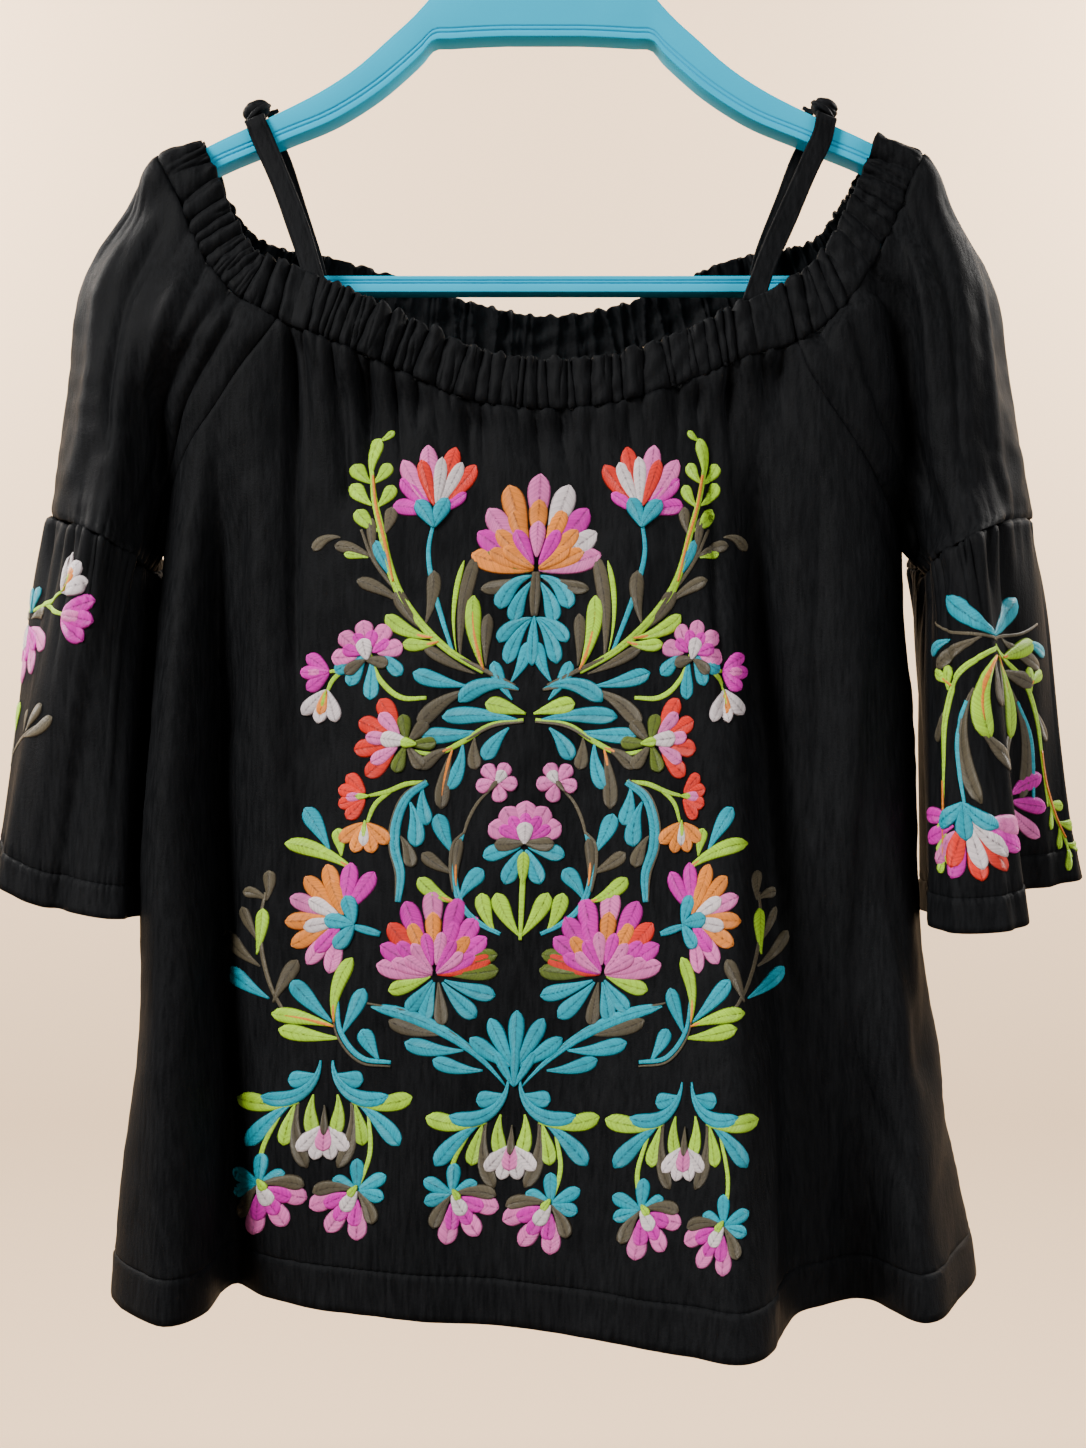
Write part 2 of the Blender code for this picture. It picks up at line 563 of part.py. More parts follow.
def make_hanger():
    for side, sign in (("left", 1.0), ("right", -1.0)):
        upper = [(sign * row[0], row[1]) for row in ARM]
        lower = [(sign * row[2], row[3]) for row in ARM]
        extruded("hanger_arm_" + side, upper + lower[::-1], HANGER_DEPTH)

    outer = [(row[0], row[1]) for row in BAR] + [(-row[0], row[1]) for row in reversed(BAR)]
    inner = [(row[2], row[3]) for row in BAR] + [(-row[2], row[3]) for row in reversed(BAR)]
    extruded("hanger_bar", outer + inner[::-1], BAR_DEPTH)

    left_half = [(-x, z) for x, z in reversed(PLATE)]
    extruded("hanger_plate", list(PLATE) + left_half, HANGER_DEPTH)


def make_hook():
    """A round hook: a short stem that swings out and three quarters of a circle."""
    radius = HOOK_INSIDE + HOOK_WIRE
    centre_z = -HOOK_INSIDE
    stem = [(0.0, -0.0610 + HANGER_GAP), (0.0, -0.0565), (0.0022, -0.0525), (0.0075, -0.0492)]
    turn = [radians(angle) for angle in range(-58, 213, 15)]
    circle = [(radius * cos(a), centre_z + radius * sin(a)) for a in turn]
    curve = bpy.data.curves.new("hanger_hook", "CURVE")
    curve.dimensions = "3D"
    curve.bevel_depth = HOOK_WIRE
    curve.bevel_resolution = 2
    curve.use_fill_caps = True
    line = curve.splines.new("POLY")
    route = stem + circle
    line.points.add(len(route) - 1)
    for point, (x, z) in zip(line.points, route):
        point.co = (x, 0.0, z, 1.0)
    add_object("hanger_hook", curve, TURQUOISE, 0.3)


def main():
    clear_scene()
    make_hook()
    make_hanger()
    make_front()
    make_back()
    make_sleeve("left", SLEEVE_LEFT, RING_LEFT, FLOUNCE_LEFT, SLEEVE_NECK_LEFT)
    make_sleeve("right", SLEEVE_RIGHT, RING_RIGHT, FLOUNCE_RIGHT, SLEEVE_NECK_RIGHT)
    make_casing("front_casing", FRONT_LEFT, FRONT_RIGHT, 21)
    make_casing("right_casing", FRONT_RIGHT, BACK_RIGHT, 15)
    make_casing("back_casing", BACK_RIGHT, BACK_LEFT, 19)
    make_casing("left_casing", BACK_LEFT, 1.0 + FRONT_LEFT, 15)
    make_strap("left_strap", STRAP_LEFT, STRAP_TILT)
    make_strap("right_strap", STRAP_RIGHT, -STRAP_TILT)
    make_knot("left", STRAP_TILT)
    make_knot("right", -STRAP_TILT)


main()
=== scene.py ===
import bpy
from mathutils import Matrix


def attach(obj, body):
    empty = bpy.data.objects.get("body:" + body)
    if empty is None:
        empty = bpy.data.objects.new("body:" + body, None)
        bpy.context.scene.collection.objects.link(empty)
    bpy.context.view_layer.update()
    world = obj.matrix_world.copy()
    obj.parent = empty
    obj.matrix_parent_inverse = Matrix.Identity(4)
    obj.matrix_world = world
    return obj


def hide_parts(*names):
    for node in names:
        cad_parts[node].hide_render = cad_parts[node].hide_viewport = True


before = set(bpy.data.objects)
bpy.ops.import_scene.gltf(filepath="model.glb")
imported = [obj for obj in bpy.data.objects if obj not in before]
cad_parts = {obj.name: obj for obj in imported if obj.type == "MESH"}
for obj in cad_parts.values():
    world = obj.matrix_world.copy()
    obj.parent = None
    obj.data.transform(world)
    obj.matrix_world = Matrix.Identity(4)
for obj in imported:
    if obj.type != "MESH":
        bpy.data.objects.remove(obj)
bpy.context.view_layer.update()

from math import cos, pi, radians, sin

import bmesh
import bpy
import numpy as np
from mathutils import Matrix, Vector
from mathutils.bvhtree import BVHTree

# The pattern of the blouse: the same tables as the solids were cut from, in metres.
waistZ, hipZ, hemZ = -0.457, -0.600, -0.732
# The neck, once round from the left shoulder along the front: s, top edge x y z, seam x y z.
neckTable = (
    (0.00, -0.1690, 0.000, -0.1685, -0.1905, 0.000, -0.1765),
    (0.012, -0.1685, -0.0095, -0.1702, -0.1890, -0.0100, -0.1785),
    (0.03, -0.1615, -0.0105, -0.1840, -0.1798, -0.013, -0.1970),
    (0.06, -0.1519, -0.016, -0.2076, -0.1697, -0.020, -0.2211),
    (0.09, -0.1399, -0.020, -0.2264, -0.1555, -0.025, -0.2429),
    (0.13, -0.1222, -0.024, -0.2344, -0.1280, -0.030, -0.2621),
    (0.17, -0.0925, -0.029, -0.2479, -0.1005, -0.034, -0.2736),
    (0.21, -0.0614, -0.032, -0.2636, -0.0683, -0.036, -0.2884),
    (0.25, -0.0302, -0.034, -0.2779, -0.0348, -0.038, -0.3027),
    (0.29, 0.0010, -0.035, -0.2830, 0.0010, -0.039, -0.3072),
    (0.33, 0.0369, -0.034, -0.2799, 0.0376, -0.038, -0.3032),
    (0.37, 0.0730, -0.032, -0.2660, 0.0769, -0.036, -0.2904),
    (0.40, 0.0973, -0.029, -0.2536, 0.1025, -0.034, -0.2794),
    (0.42, 0.1172, -0.025, -0.2434, 0.1222, -0.030, -0.2732),
    (0.45, 0.1360, -0.020, -0.2269, 0.1466, -0.026, -0.2538),
    (0.48, 0.1485, -0.016, -0.2042, 0.1662, -0.020, -0.2225),
    (0.51, 0.1575, -0.0105, -0.1845, 0.1788, -0.013, -0.1960),
    (0.528, 0.1645, -0.0097, -0.1673, 0.1865, -0.0100, -0.1777),
    (0.54, 0.1650, 0.000, -0.1662, 0.1880, 0.000, -0.1762),
    (0.552, 0.1645, 0.0097, -0.1673, 0.1865, 0.0100, -0.1777),
    (0.57, 0.1580, 0.0110, -0.1820, 0.1815, 0.013, -0.1910),
    (0.60, 0.1500, 0.018, -0.1950, 0.1720, 0.021, -0.2110),
    (0.63, 0.1405, 0.023, -0.2070, 0.1565, 0.028, -0.2310),
    (0.66, 0.1278, 0.028, -0.2112, 0.1366, 0.034, -0.2386),
    (0.69, 0.0998, 0.032, -0.2152, 0.1074, 0.038, -0.2400),
    (0.72, 0.0742, 0.036, -0.2245, 0.0794, 0.041, -0.2489),
    (0.75, 0.0429, 0.038, -0.2370, 0.0458, 0.043, -0.2610),
    (0.78, 0.0068, 0.039, -0.2431, 0.0069, 0.044, -0.2670),
    (0.82, -0.0325, 0.038, -0.2376, -0.0342, 0.043, -0.2616),
    (0.86, -0.0747, 0.036, -0.2245, -0.0794, 0.041, -0.2485),
    (0.89, -0.1082, 0.032, -0.2152, -0.1157, 0.038, -0.2395),
    (0.92, -0.1323, 0.027, -0.2125, -0.1421, 0.033, -0.2363),
    (0.94, -0.1475, 0.022, -0.2065, -0.1620, 0.027, -0.2268),
    (0.96, -0.1580, 0.017, -0.1940, -0.1765, 0.020, -0.2090),
    (0.972, -0.1635, 0.0110, -0.1810, -0.1835, 0.013, -0.1930),
    (0.988, -0.1685, 0.0095, -0.1702, -0.1890, 0.0100, -0.1785),
    (1.00, -0.1690, 0.000, -0.1685, -0.1905, 0.000, -0.1765),
)
# Where the raglan seams run into the neck: front left, front right, back right, back left.
frontLeft, frontRight, backRight, backLeft = 0.13, 0.42, 0.66, 0.92
# The places along the neck that a sleeve's eleven lengthwise lines start from.
sleeveNeckLeft = (0.13, 0.105, 0.08, 0.045, 0.012, 0.0, 0.988, 0.965, 0.95, 0.935, 0.92)
sleeveNeckRight = (0.42, 0.445, 0.47, 0.50, 0.528, 0.54, 0.552, 0.58, 0.61, 0.64, 0.66)

# Raglan seams from the neck to the underarm: t, x, y, z.
raglanTable = {
    "front_left": (
        (0.00, -0.1280, -0.030, -0.2621),
        (0.22, -0.1430, -0.032, -0.2818),
        (0.44, -0.1569, -0.030, -0.3020),
        (0.68, -0.1736, -0.022, -0.3238),
        (0.82, -0.1815, -0.014, -0.3400),
        (1.00, -0.1870, 0.002, -0.3673),
    ),
    "front_right": (
        (0.00, 0.1222, -0.030, -0.2732),
        (0.22, 0.1335, -0.034, -0.2976),
        (0.44, 0.1469, -0.032, -0.3164),
        (0.68, 0.1600, -0.025, -0.3350),
        (0.82, 0.1700, -0.015, -0.3510),
        (1.00, 0.1804, 0.004, -0.3700),
    ),
    "back_left": (
        (0.00, -0.1421, 0.033, -0.2363),
        (0.25, -0.1500, 0.037, -0.2680),
        (0.50, -0.1610, 0.034, -0.2990),
        (0.75, -0.1760, 0.024, -0.3270),
        (1.00, -0.1870, 0.002, -0.3673),
    ),
    "back_right": (
        (0.00, 0.1366, 0.034, -0.2386),
        (0.25, 0.1440, 0.039, -0.2700),
        (0.50, 0.1540, 0.037, -0.3010),
        (0.75, 0.1690, 0.027, -0.3330),
        (1.00, 0.1804, 0.004, -0.3700),
    ),
}

# The front's folds, left to right: u, then x y at the waist, at the hip and at the hem.
frontFolds = (
    (0.000, -0.1795, 0.008, -0.1830, 0.010, -0.1980, 0.012),    # left side seam
    (0.030, -0.1905, -0.020, -0.1950, -0.024, -0.2095, -0.020),  # outline
    (0.070, -0.1770, -0.044, -0.1780, -0.058, -0.1740, -0.069),  # left pipe
    (0.100, -0.1665, -0.034, -0.1625, -0.048, -0.1590, -0.050),
    (0.125, -0.1600, -0.010, -0.1555, -0.014, -0.1520, -0.014),  # deep valley
    (0.155, -0.1480, -0.027, -0.1430, -0.032, -0.1330, -0.031),
    (0.190, -0.1335, -0.040, -0.1250, -0.045, -0.1130, -0.044),
    (0.235, -0.1165, -0.036, -0.1060, -0.047, -0.0910, -0.052),
    (0.330, -0.0780, -0.047, -0.0680, -0.056, -0.0570, -0.062),
    (0.460, -0.0220, -0.050, -0.0180, -0.062, -0.0120, -0.070),
    (0.550, 0.0230, -0.053, 0.0220, -0.070, 0.0260, -0.085),
    (0.630, 0.0640, -0.055, 0.0640, -0.080, 0.0640, -0.104),
    (0.675, 0.0900, -0.052, 0.0900, -0.086, 0.0900, -0.110),     # panel's right edge
    (0.695, 0.0990, -0.038, 0.1010, -0.072, 0.1035, -0.094),
    (0.720, 0.1065, -0.020, 0.1090, -0.046, 0.1130, -0.060),     # right recess
    (0.760, 0.1220, -0.034, 0.1270, -0.040, 0.1340, -0.042),
    (0.830, 0.1460, -0.039, 0.1490, -0.038, 0.1570, -0.034),
    (0.900, 0.1660, -0.028, 0.1710, -0.042, 0.1770, -0.065),     # right pipe
    (0.950, 0.1770, -0.014, 0.1840, -0.024, 0.1970, -0.038),
    (0.980, 0.1835, -0.001, 0.1930, 0.000, 0.2160, 0.004),
    (1.000, 0.1830, 0.014, 0.1930, 0.020, 0.2215, 0.028),        # right side seam
)
# The back's folds, left to right as seen from the front.
backFolds = (
    (0.00, -0.1795, 0.008, -0.1830, 0.010, -0.1980, 0.012),
    (0.06, -0.1860, 0.030, -0.1900, 0.034, -0.2030, 0.036),
    (0.12, -0.1740, 0.048, -0.1740, 0.056, -0.1800, 0.064),
    (0.19, -0.1480, 0.040, -0.1480, 0.040, -0.1480, 0.036),
    (0.27, -0.1150, 0.048, -0.1150, 0.056, -0.1120, 0.062),
    (0.36, -0.0720, 0.048, -0.0720, 0.052, -0.0700, 0.056),
    (0.43, -0.0370, 0.044, -0.0380, 0.044, -0.0360, 0.040),
    (0.52, 0.0050, 0.050, 0.0050, 0.056, 0.0060, 0.062),
    (0.60, 0.0450, 0.051, 0.0450, 0.060, 0.0480, 0.068),
    (0.68, 0.0850, 0.044, 0.0860, 0.044, 0.0880, 0.040),
    (0.76, 0.1180, 0.048, 0.1220, 0.058, 0.1280, 0.066),
    (0.84, 0.1450, 0.046, 0.1500, 0.050, 0.1600, 0.052),
    (0.91, 0.1680, 0.042, 0.1760, 0.052, 0.1960, 0.064),
    (0.96, 0.1800, 0.030, 0.1880, 0.038, 0.2150, 0.052),
    (1.00, 0.1830, 0.014, 0.1930, 0.020, 0.2215, 0.028),
)
# Shares of a body panel's top edge that its two raglans and its neck seam take.
raglanShare = 0.22

# Sleeve sections from the armhole's front round to the outside, x y z for each of five
# places; the first place of all is on the raglan seam. t is how far down the raglan.
leftSleeveTable = (
    (0.22, (-0.1570, -0.034, -0.2756), (-0.1764, -0.033, -0.2720), (-0.1961, -0.031, -0.2638),
     (-0.2165, -0.021, -0.2500), (-0.2315, 0.000, -0.2400)),
    (0.44, (-0.1732, -0.028, -0.3003), (-0.1900, -0.020, -0.2970), (-0.2020, -0.033, -0.2961),
     (-0.2186, -0.027, -0.2901), (-0.2355, 0.000, -0.2800)),
    (0.70, (-0.1835, -0.014, -0.3281), (-0.1920, -0.010, -0.3266), (-0.2015, -0.038, -0.3278),
     (-0.2209, -0.030, -0.3218), (-0.2395, 0.000, -0.3130)),
    (1.00, (-0.1935, -0.002, -0.3668), (-0.1970, -0.026, -0.3656), (-0.2060, -0.045, -0.3601),
     (-0.2245, -0.033, -0.3511), (-0.2434, 0.003, -0.3396)),
)
leftRing = ((-0.1950, 0.002, -0.3820), (-0.1960, -0.014, -0.3790), (-0.1970, -0.034, -0.3750),
             (-0.2070, -0.048, -0.3683), (-0.2255, -0.034, -0.3606), (-0.2455, 0.005, -0.3534))
rightSleeveTable = (
    (0.22, (0.1494, -0.034, -0.2732), (0.1775, -0.018, -0.2610), (0.1870, -0.031, -0.2612),
     (0.2090, -0.024, -0.2530), (0.2265, 0.000, -0.2440)),
    (0.44, (0.1590, -0.030, -0.2996), (0.1805, -0.014, -0.2930), (0.1895, -0.034, -0.2961),
     (0.2100, -0.030, -0.2919), (0.2315, 0.000, -0.2810)),
    (0.70, (0.1730, -0.018, -0.3255), (0.1845, -0.010, -0.3230), (0.1905, -0.036, -0.3262),
     (0.2120, -0.034, -0.3233), (0.2365, 0.000, -0.3130)),
    (1.00, (0.1870, 0.000, -0.3690), (0.1910, -0.026, -0.3675), (0.1995, -0.046, -0.3649),
     (0.2200, -0.034, -0.3555), (0.2434, 0.003, -0.3446)),
)
rightRing = ((0.1930, 0.004, -0.3840), (0.1915, -0.014, -0.3790), (0.1905, -0.034, -0.3750),
              (0.1990, -0.049, -0.3693), (0.2190, -0.036, -0.3605), (0.2455, 0.005, -0.3539))

# Flounce hems, once round from the inside along the front: s, x, y, z.
leftFlounceHem = (
    (0.00, -0.1880, 0.004, -0.5520),
    (0.06, -0.1960, -0.024, -0.5500),
    (0.12, -0.1995, -0.046, -0.5490),
    (0.20, -0.2140, -0.050, -0.5470),
    (0.27, -0.2310, -0.036, -0.5450),
    (0.34, -0.2450, -0.035, -0.5430),
    (0.42, -0.2640, -0.018, -0.5360),
    (0.50, -0.2740, 0.010, -0.5290),
    (0.58, -0.2680, 0.034, -0.5330),
    (0.66, -0.2500, 0.048, -0.5400),
    (0.74, -0.2320, 0.040, -0.5450),
    (0.82, -0.2130, 0.058, -0.5480),
    (0.90, -0.1970, 0.054, -0.5500),
    (0.96, -0.1900, 0.030, -0.5510),
    (1.00, -0.1880, 0.004, -0.5520),
)
rightFlounceHem = (
    (0.00, 0.1970, 0.012, -0.5530),
    (0.05, 0.1870, -0.020, -0.5535),
    (0.11, 0.1905, -0.044, -0.5550),
    (0.19, 0.2030, -0.053, -0.5550),
    (0.27, 0.2200, -0.050, -0.5535),
    (0.33, 0.2315, -0.036, -0.5510),
    (0.38, 0.2340, -0.010, -0.5410),
    (0.44, 0.2540, -0.002, -0.5380),
    (0.50, 0.2700, 0.006, -0.5360),
    (0.57, 0.2740, 0.026, -0.5350),
    (0.65, 0.2580, 0.046, -0.5400),
    (0.73, 0.2390, 0.038, -0.5450),
    (0.81, 0.2220, 0.060, -0.5490),
    (0.90, 0.2040, 0.056, -0.5520),
    (0.96, 0.1980, 0.036, -0.5530),
    (1.00, 0.1970, 0.012, -0.5530),
)
# How far the gathers push a flounce out just below its seam.
flouncePuff = 0.005

# Straps from inside the front casing over the arm to inside the back casing: x, y, z.
leftStrapPath = (
    (-0.1074, -0.0240, -0.2568), (-0.1125, -0.0205, -0.2368), (-0.1184, -0.0168, -0.2182),
    (-0.1274, -0.0130, -0.1938), (-0.1380, -0.0095, -0.1690), (-0.1418, -0.0092, -0.1600),
    (-0.1430, -0.0062, -0.1568), (-0.1430, 0.0062, -0.1568), (-0.1405, 0.0092, -0.1602),
    (-0.1340, 0.0098, -0.1690), (-0.1272, 0.0140, -0.1899), (-0.1200, 0.0220, -0.2130),
    (-0.1160, 0.0280, -0.2310),
)
rightStrapPath = (
    (0.1016, -0.0240, -0.2530), (0.1090, -0.0200, -0.2320), (0.1200, -0.0160, -0.2071),
    (0.1310, -0.0122, -0.1820), (0.1375, -0.0095, -0.1680), (0.1398, -0.0092, -0.1588),
    (0.1405, -0.0062, -0.1556), (0.1405, 0.0062, -0.1556), (0.1380, 0.0092, -0.1592),
    (0.1315, 0.0098, -0.1700), (0.1240, 0.0140, -0.1889), (0.1150, 0.0220, -0.2130),
    (0.1105, 0.0285, -0.2310),
)
strapTilt = radians(23)
knotPlaces = {"left": (-0.1430, 0.000, -0.1508), "right": (0.1405, 0.000, -0.1496)}


# small tools for grids of cloth


def hermite(knots, values, at):
    # a smooth line through the given values, read at the given places
    knots, values = np.asarray(knots, float), np.asarray(values, float)
    spread = (-1,) + (1,) * (values.ndim - 1)
    steps = np.diff(knots)
    slopes = np.diff(values, axis=0) / steps.reshape(spread)
    tangents = np.empty_like(values)
    tangents[0], tangents[-1] = slopes[0], slopes[-1]
    before, after = steps[:-1].reshape(spread), steps[1:].reshape(spread)
    tangents[1:-1] = (slopes[:-1] * after + slopes[1:] * before) / (before + after)
    at = np.clip(np.atleast_1d(at), knots[0], knots[-1])
    cell = np.clip(np.searchsorted(knots, at, side="right") - 1, 0, len(steps) - 1)
    h = steps[cell].reshape(spread)
    t = ((at - knots[cell]) / steps[cell]).reshape(spread)
    return (values[cell] * (2 * t**3 - 3 * t**2 + 1) + tangents[cell] * h * (t**3 - 2 * t**2 + t)
            + values[cell + 1] * (3 * t**2 - 2 * t**3) + tangents[cell + 1] * h * (t**3 - t**2))


def smooth(rows, at):
    # rows of a table, its first column the place that the others are read at
    rows = np.asarray(rows, float)
    return hermite(rows[:, 0], rows[:, 1:], at)


def neckEdge(s):
    return smooth(neckTable, np.mod(s, 1.0))[:, :3]


def neckSeam(s):
    return smooth(neckTable, np.mod(s, 1.0))[:, 3:]


def reaches(points):
    # how far along a line each of its points is
    return np.concatenate(([0.0], np.cumsum(np.linalg.norm(np.diff(points, axis=0), axis=1))))


def unit(vectors):
    return vectors / np.maximum(np.linalg.norm(vectors, axis=-1), 1e-9)[..., None]


def fade(values):
    return np.clip(values, 0.0, 1.0)


def bell(distance):
    return np.exp(-distance ** 2)


def normalsOf(grid, turned):
    across, down = np.gradient(grid, axis=1), np.gradient(grid, axis=0)
    return unit(np.cross(across, down) if turned else np.cross(down, across))


def acrossLengths(grid):
    steps = np.linalg.norm(np.diff(grid, axis=1), axis=2)
    return np.concatenate((np.zeros((len(grid), 1)), np.cumsum(steps, axis=1)), axis=1)


def downLengths(grid):
    steps = np.linalg.norm(np.diff(grid, axis=0), axis=2)
    return np.concatenate((np.zeros((1, grid.shape[1])), np.cumsum(steps, axis=0)))


def unevenSplit(count, seed, spread):
    dice = np.random.default_rng(seed)
    widths = 1.0 + spread * dice.uniform(-1.0, 1.0, count)
    return np.concatenate(([0.0], np.cumsum(widths))) / widths.sum(), dice


def gathers(along, down, count, height, length, seed, narrow=0.22, spread=0.6):
    # valleys that start sharp at the seam, widen, lean and fade each at its own length,
    # with round tucks between
    edges, dice = unevenSplit(count, seed, spread)
    centres = edges[1:-1]
    deep = height * (1.0 + 0.55 * dice.uniform(-1.0, 1.0, count - 1))
    long = length * np.exp(0.75 * dice.uniform(-1.0, 1.0, count - 1))
    lean = dice.uniform(-0.35, 0.35, count - 1)
    down = np.maximum(down, 0.0)
    lift = 0.42 * height * np.exp(-(down / length) ** 1.3)
    for i in range(count - 1):
        gone = down / long[i]
        width = narrow / count * (0.75 + 1.3 * np.minimum(gone, 1.6))
        apart = np.abs(along - centres[i] - lean[i] * down) / width
        hollow = 0.62 * np.exp(-apart ** 1.15) + 0.38 * bell(apart / 2.7)
        lift = lift - deep[i] * hollow * np.exp(-gone ** 1.5)
    return lift


def softWaves(x, y, scale, seed):
    # a slow unevenness that no two places share
    count = 7
    dice = np.random.default_rng(seed)
    total = np.zeros_like(x)
    for _ in range(count):
        turn, size, shift = dice.uniform(0, 2 * pi), dice.uniform(0.6, 1.8), dice.uniform(0, 2 * pi)
        total += np.sin((x * cos(turn) + y * sin(turn)) * size * 2 * pi / scale + shift)
    return total / count**0.5


def troughs(grid, table, normal):
    # soft creases: from x z, to x z, width, depth; a negative depth is a ridge
    depth = np.zeros(grid.shape[:2])
    x, z = grid[..., 0], grid[..., 2]
    for fromX, fromZ, toX, toZ, width, deep in table:
        t = (z - fromZ) / (toZ - fromZ)
        centre = fromX + (toX - fromX) * t
        ends = fade(t / 0.22) * fade((1 - t) / 0.22)
        ends = ends * ends * (3 - 2 * ends)
        depth += deep * ends * bell((x - centre) / width)
    return grid - normal * depth[..., None]


# Where the hanger's arms end, and how far round them the cloth lies smooth, raised a little.
armTip = {"x": 0.1900, "z": -0.1870, "reach": 0.016, "raised": 0.0030}


def overArmTips(grid, lift):
    # takes the valleys out of the lift there, so that the arm's tip stays under the cloth
    fromTip = np.hypot(np.abs(grid[..., 0]) - armTip["x"], grid[..., 2] - armTip["z"])
    near = bell(fromTip / armTip["reach"])
    return lift * (1.0 - near) + armTip["raised"] * near


def seamGroove(grid, normal, edges, deep=0.0009, wide=0.0035):
    # presses the seams in along the named edges of a grid
    across, down = acrossLengths(grid), downLengths(grid)
    near = {"first": across, "last": across[:, -1:] - across, "top": down, "bottom": down[-1:] - down}
    for edge in edges:
        grid = grid - normal * (deep * fade(1 - near[edge] / wide) ** 2)[..., None]
    return grid


def gridFaces(index):
    # the four corners of every square of a numbered grid
    return np.stack((index[:-1, :-1], index[1:, :-1], index[1:, 1:], index[:-1, 1:]), axis=-1).reshape(-1, 4)


def tubeFaces(index):
    # a tube's faces from its numbered rings, with a cap at each end
    following = np.roll(index, -1, axis=1)
    sides = np.stack((index[:-1], following[:-1], following[1:], index[1:]), axis=-1)
    return sides.reshape(-1, 4).tolist() + [index[0, ::-1].tolist(), index[-1].tolist()]


def addPiece(name, mesh, finish):
    mesh.shade_smooth()
    mesh.materials.append(finish)
    piece = bpy.data.objects.new(name, mesh)
    bpy.context.scene.collection.objects.link(piece)
    return piece


def handIn(piece, slot, *nodes):
    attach(piece, "root")
    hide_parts(*nodes)


def takeUp(*pieces):
    # selects these pieces only, and works on the first
    bpy.ops.object.select_all(action="DESELECT")
    for piece in pieces:
        piece.select_set(True)
    bpy.context.view_layer.objects.active = pieces[0]


def clothPiece(name, node, grid, wall, turned, ringFrom=None):
    # a sheet with its wall; from the row ringFrom down it closes into a ring
    rows, columns = grid.shape[:2]
    index = np.arange(rows * columns).reshape(rows, columns)
    if ringFrom is not None:
        index[ringFrom:, -1] = index[ringFrom:, 0]
    corners = gridFaces(index)
    if turned:
        corners = corners[:, ::-1]
    used, places = np.unique(corners, return_inverse=True)
    mesh = bpy.data.meshes.new(name)
    mesh.from_pydata(grid.reshape(-1, 3)[used].tolist(), [], places.reshape(-1, 4).tolist())
    mesh.update()
    layer = mesh.uv_layers.new(name="cloth")
    across, down = acrossLengths(grid), downLengths(grid)
    flat = np.stack((across, -down), axis=-1).reshape(-1, 2)
    loopPoints = corners.reshape(-1)
    layer.data.foreach_set("uv", flat[loopPoints].astype(np.float32).reshape(-1))
    piece = addPiece(name, mesh, crepe)
    thickness = piece.modifiers.new("wall", "SOLIDIFY")
    thickness.thickness = wall
    thickness.offset = 0.0
    applyModifiers(piece)
    handIn(piece, "black_crepe", node)


def applyModifiers(piece):
    takeUp(piece)
    for modifier in list(piece.modifiers):
        bpy.ops.object.modifier_apply(modifier=modifier.name)


# shader maths


class Wire:
    def __init__(self, finish, socket):
        self.finish, self.socket = finish, socket

    def maths(self, operation, *values):
        return self.finish.node("ShaderNodeMath", {"operation": operation}, dict(enumerate(values)))

    def __add__(self, other): return self.maths("ADD", self, other)
    def __radd__(self, other): return self.maths("ADD", other, self)
    def __sub__(self, other): return self.maths("SUBTRACT", self, other)
    def __rsub__(self, other): return self.maths("SUBTRACT", other, self)
    def __mul__(self, other): return self.maths("MULTIPLY", self, other)
    def __pow__(self, other): return self.maths("POWER", self, other)
    def sine(self): return self.maths("SINE", self)
    def size(self): return self.maths("ABSOLUTE", self)
    def held(self): return self.maths("MINIMUM", self.maths("MAXIMUM", self, 0.0), 1.0)


class Finish:
    def __init__(self, name, **fixed):
        self.material = bpy.data.materials.new(name)
        self.material.use_nodes = True
        self.tree = self.material.node_tree
        self.shader = self.tree.nodes["Principled BSDF"]
        for socket, value in fixed.items():
            self.shader.inputs[socket.replace("_", " ")].default_value = value

    def node(self, kind, settings=None, values=None, output=0):
        made = self.tree.nodes.new(kind)
        for key, value in (settings or {}).items():
            setattr(made, key, value)
        for key, value in (values or {}).items():
            if isinstance(value, Wire):
                self.tree.links.new(value.socket, made.inputs[key])
            else:
                made.inputs[key].default_value = value
        return Wire(self, made.outputs[output])

    def place(self, scale=(1.0, 1.0, 1.0), turn=(0.0, 0.0, 0.0)):
        source = self.node("ShaderNodeTexCoord", output=3)  # the Object coordinates
        return self.node("ShaderNodeMapping", {}, {"Vector": source, "Scale": scale, "Rotation": turn})

    def noise(self, where, scale, detail=2.0, rough=0.5):
        return self.node("ShaderNodeTexNoise", {}, {"Vector": where, "Scale": scale, "Detail": detail,
                                                    "Roughness": rough})

    def mixed(self, share, first, second):
        values = {"Factor": share}
        for key, colour in ((6, first), (7, second)):
            values[key] = colour if isinstance(colour, Wire) else (*colour, 1.0)
        return self.node("ShaderNodeMix", {"data_type": "RGBA"}, values, output=2)

    def feed(self, socket, wire):
        self.tree.links.new(wire.socket, self.shader.inputs[socket])

    def bump(self, height, strength, distance):
        return self.node("ShaderNodeBump", {}, {"Height": height, "Strength": strength, "Distance": distance})


crepeLook = {"dark": (0.0034, 0.0037, 0.0043), "light": (0.0135, 0.0142, 0.0158), "rough": 0.62,
             "grain": 1500.0, "pebble": 620.0, "slubAndSheen": 540.0, "patches": 14.0, "bump": 0.0006}
plasticLook = {"dark": (0.0, 0.38, 0.60), "light": (0.0, 0.44, 0.68), "rough": 0.34,
               "clouds": 28.0, "specks": 900.0, "bump": 0.0006}


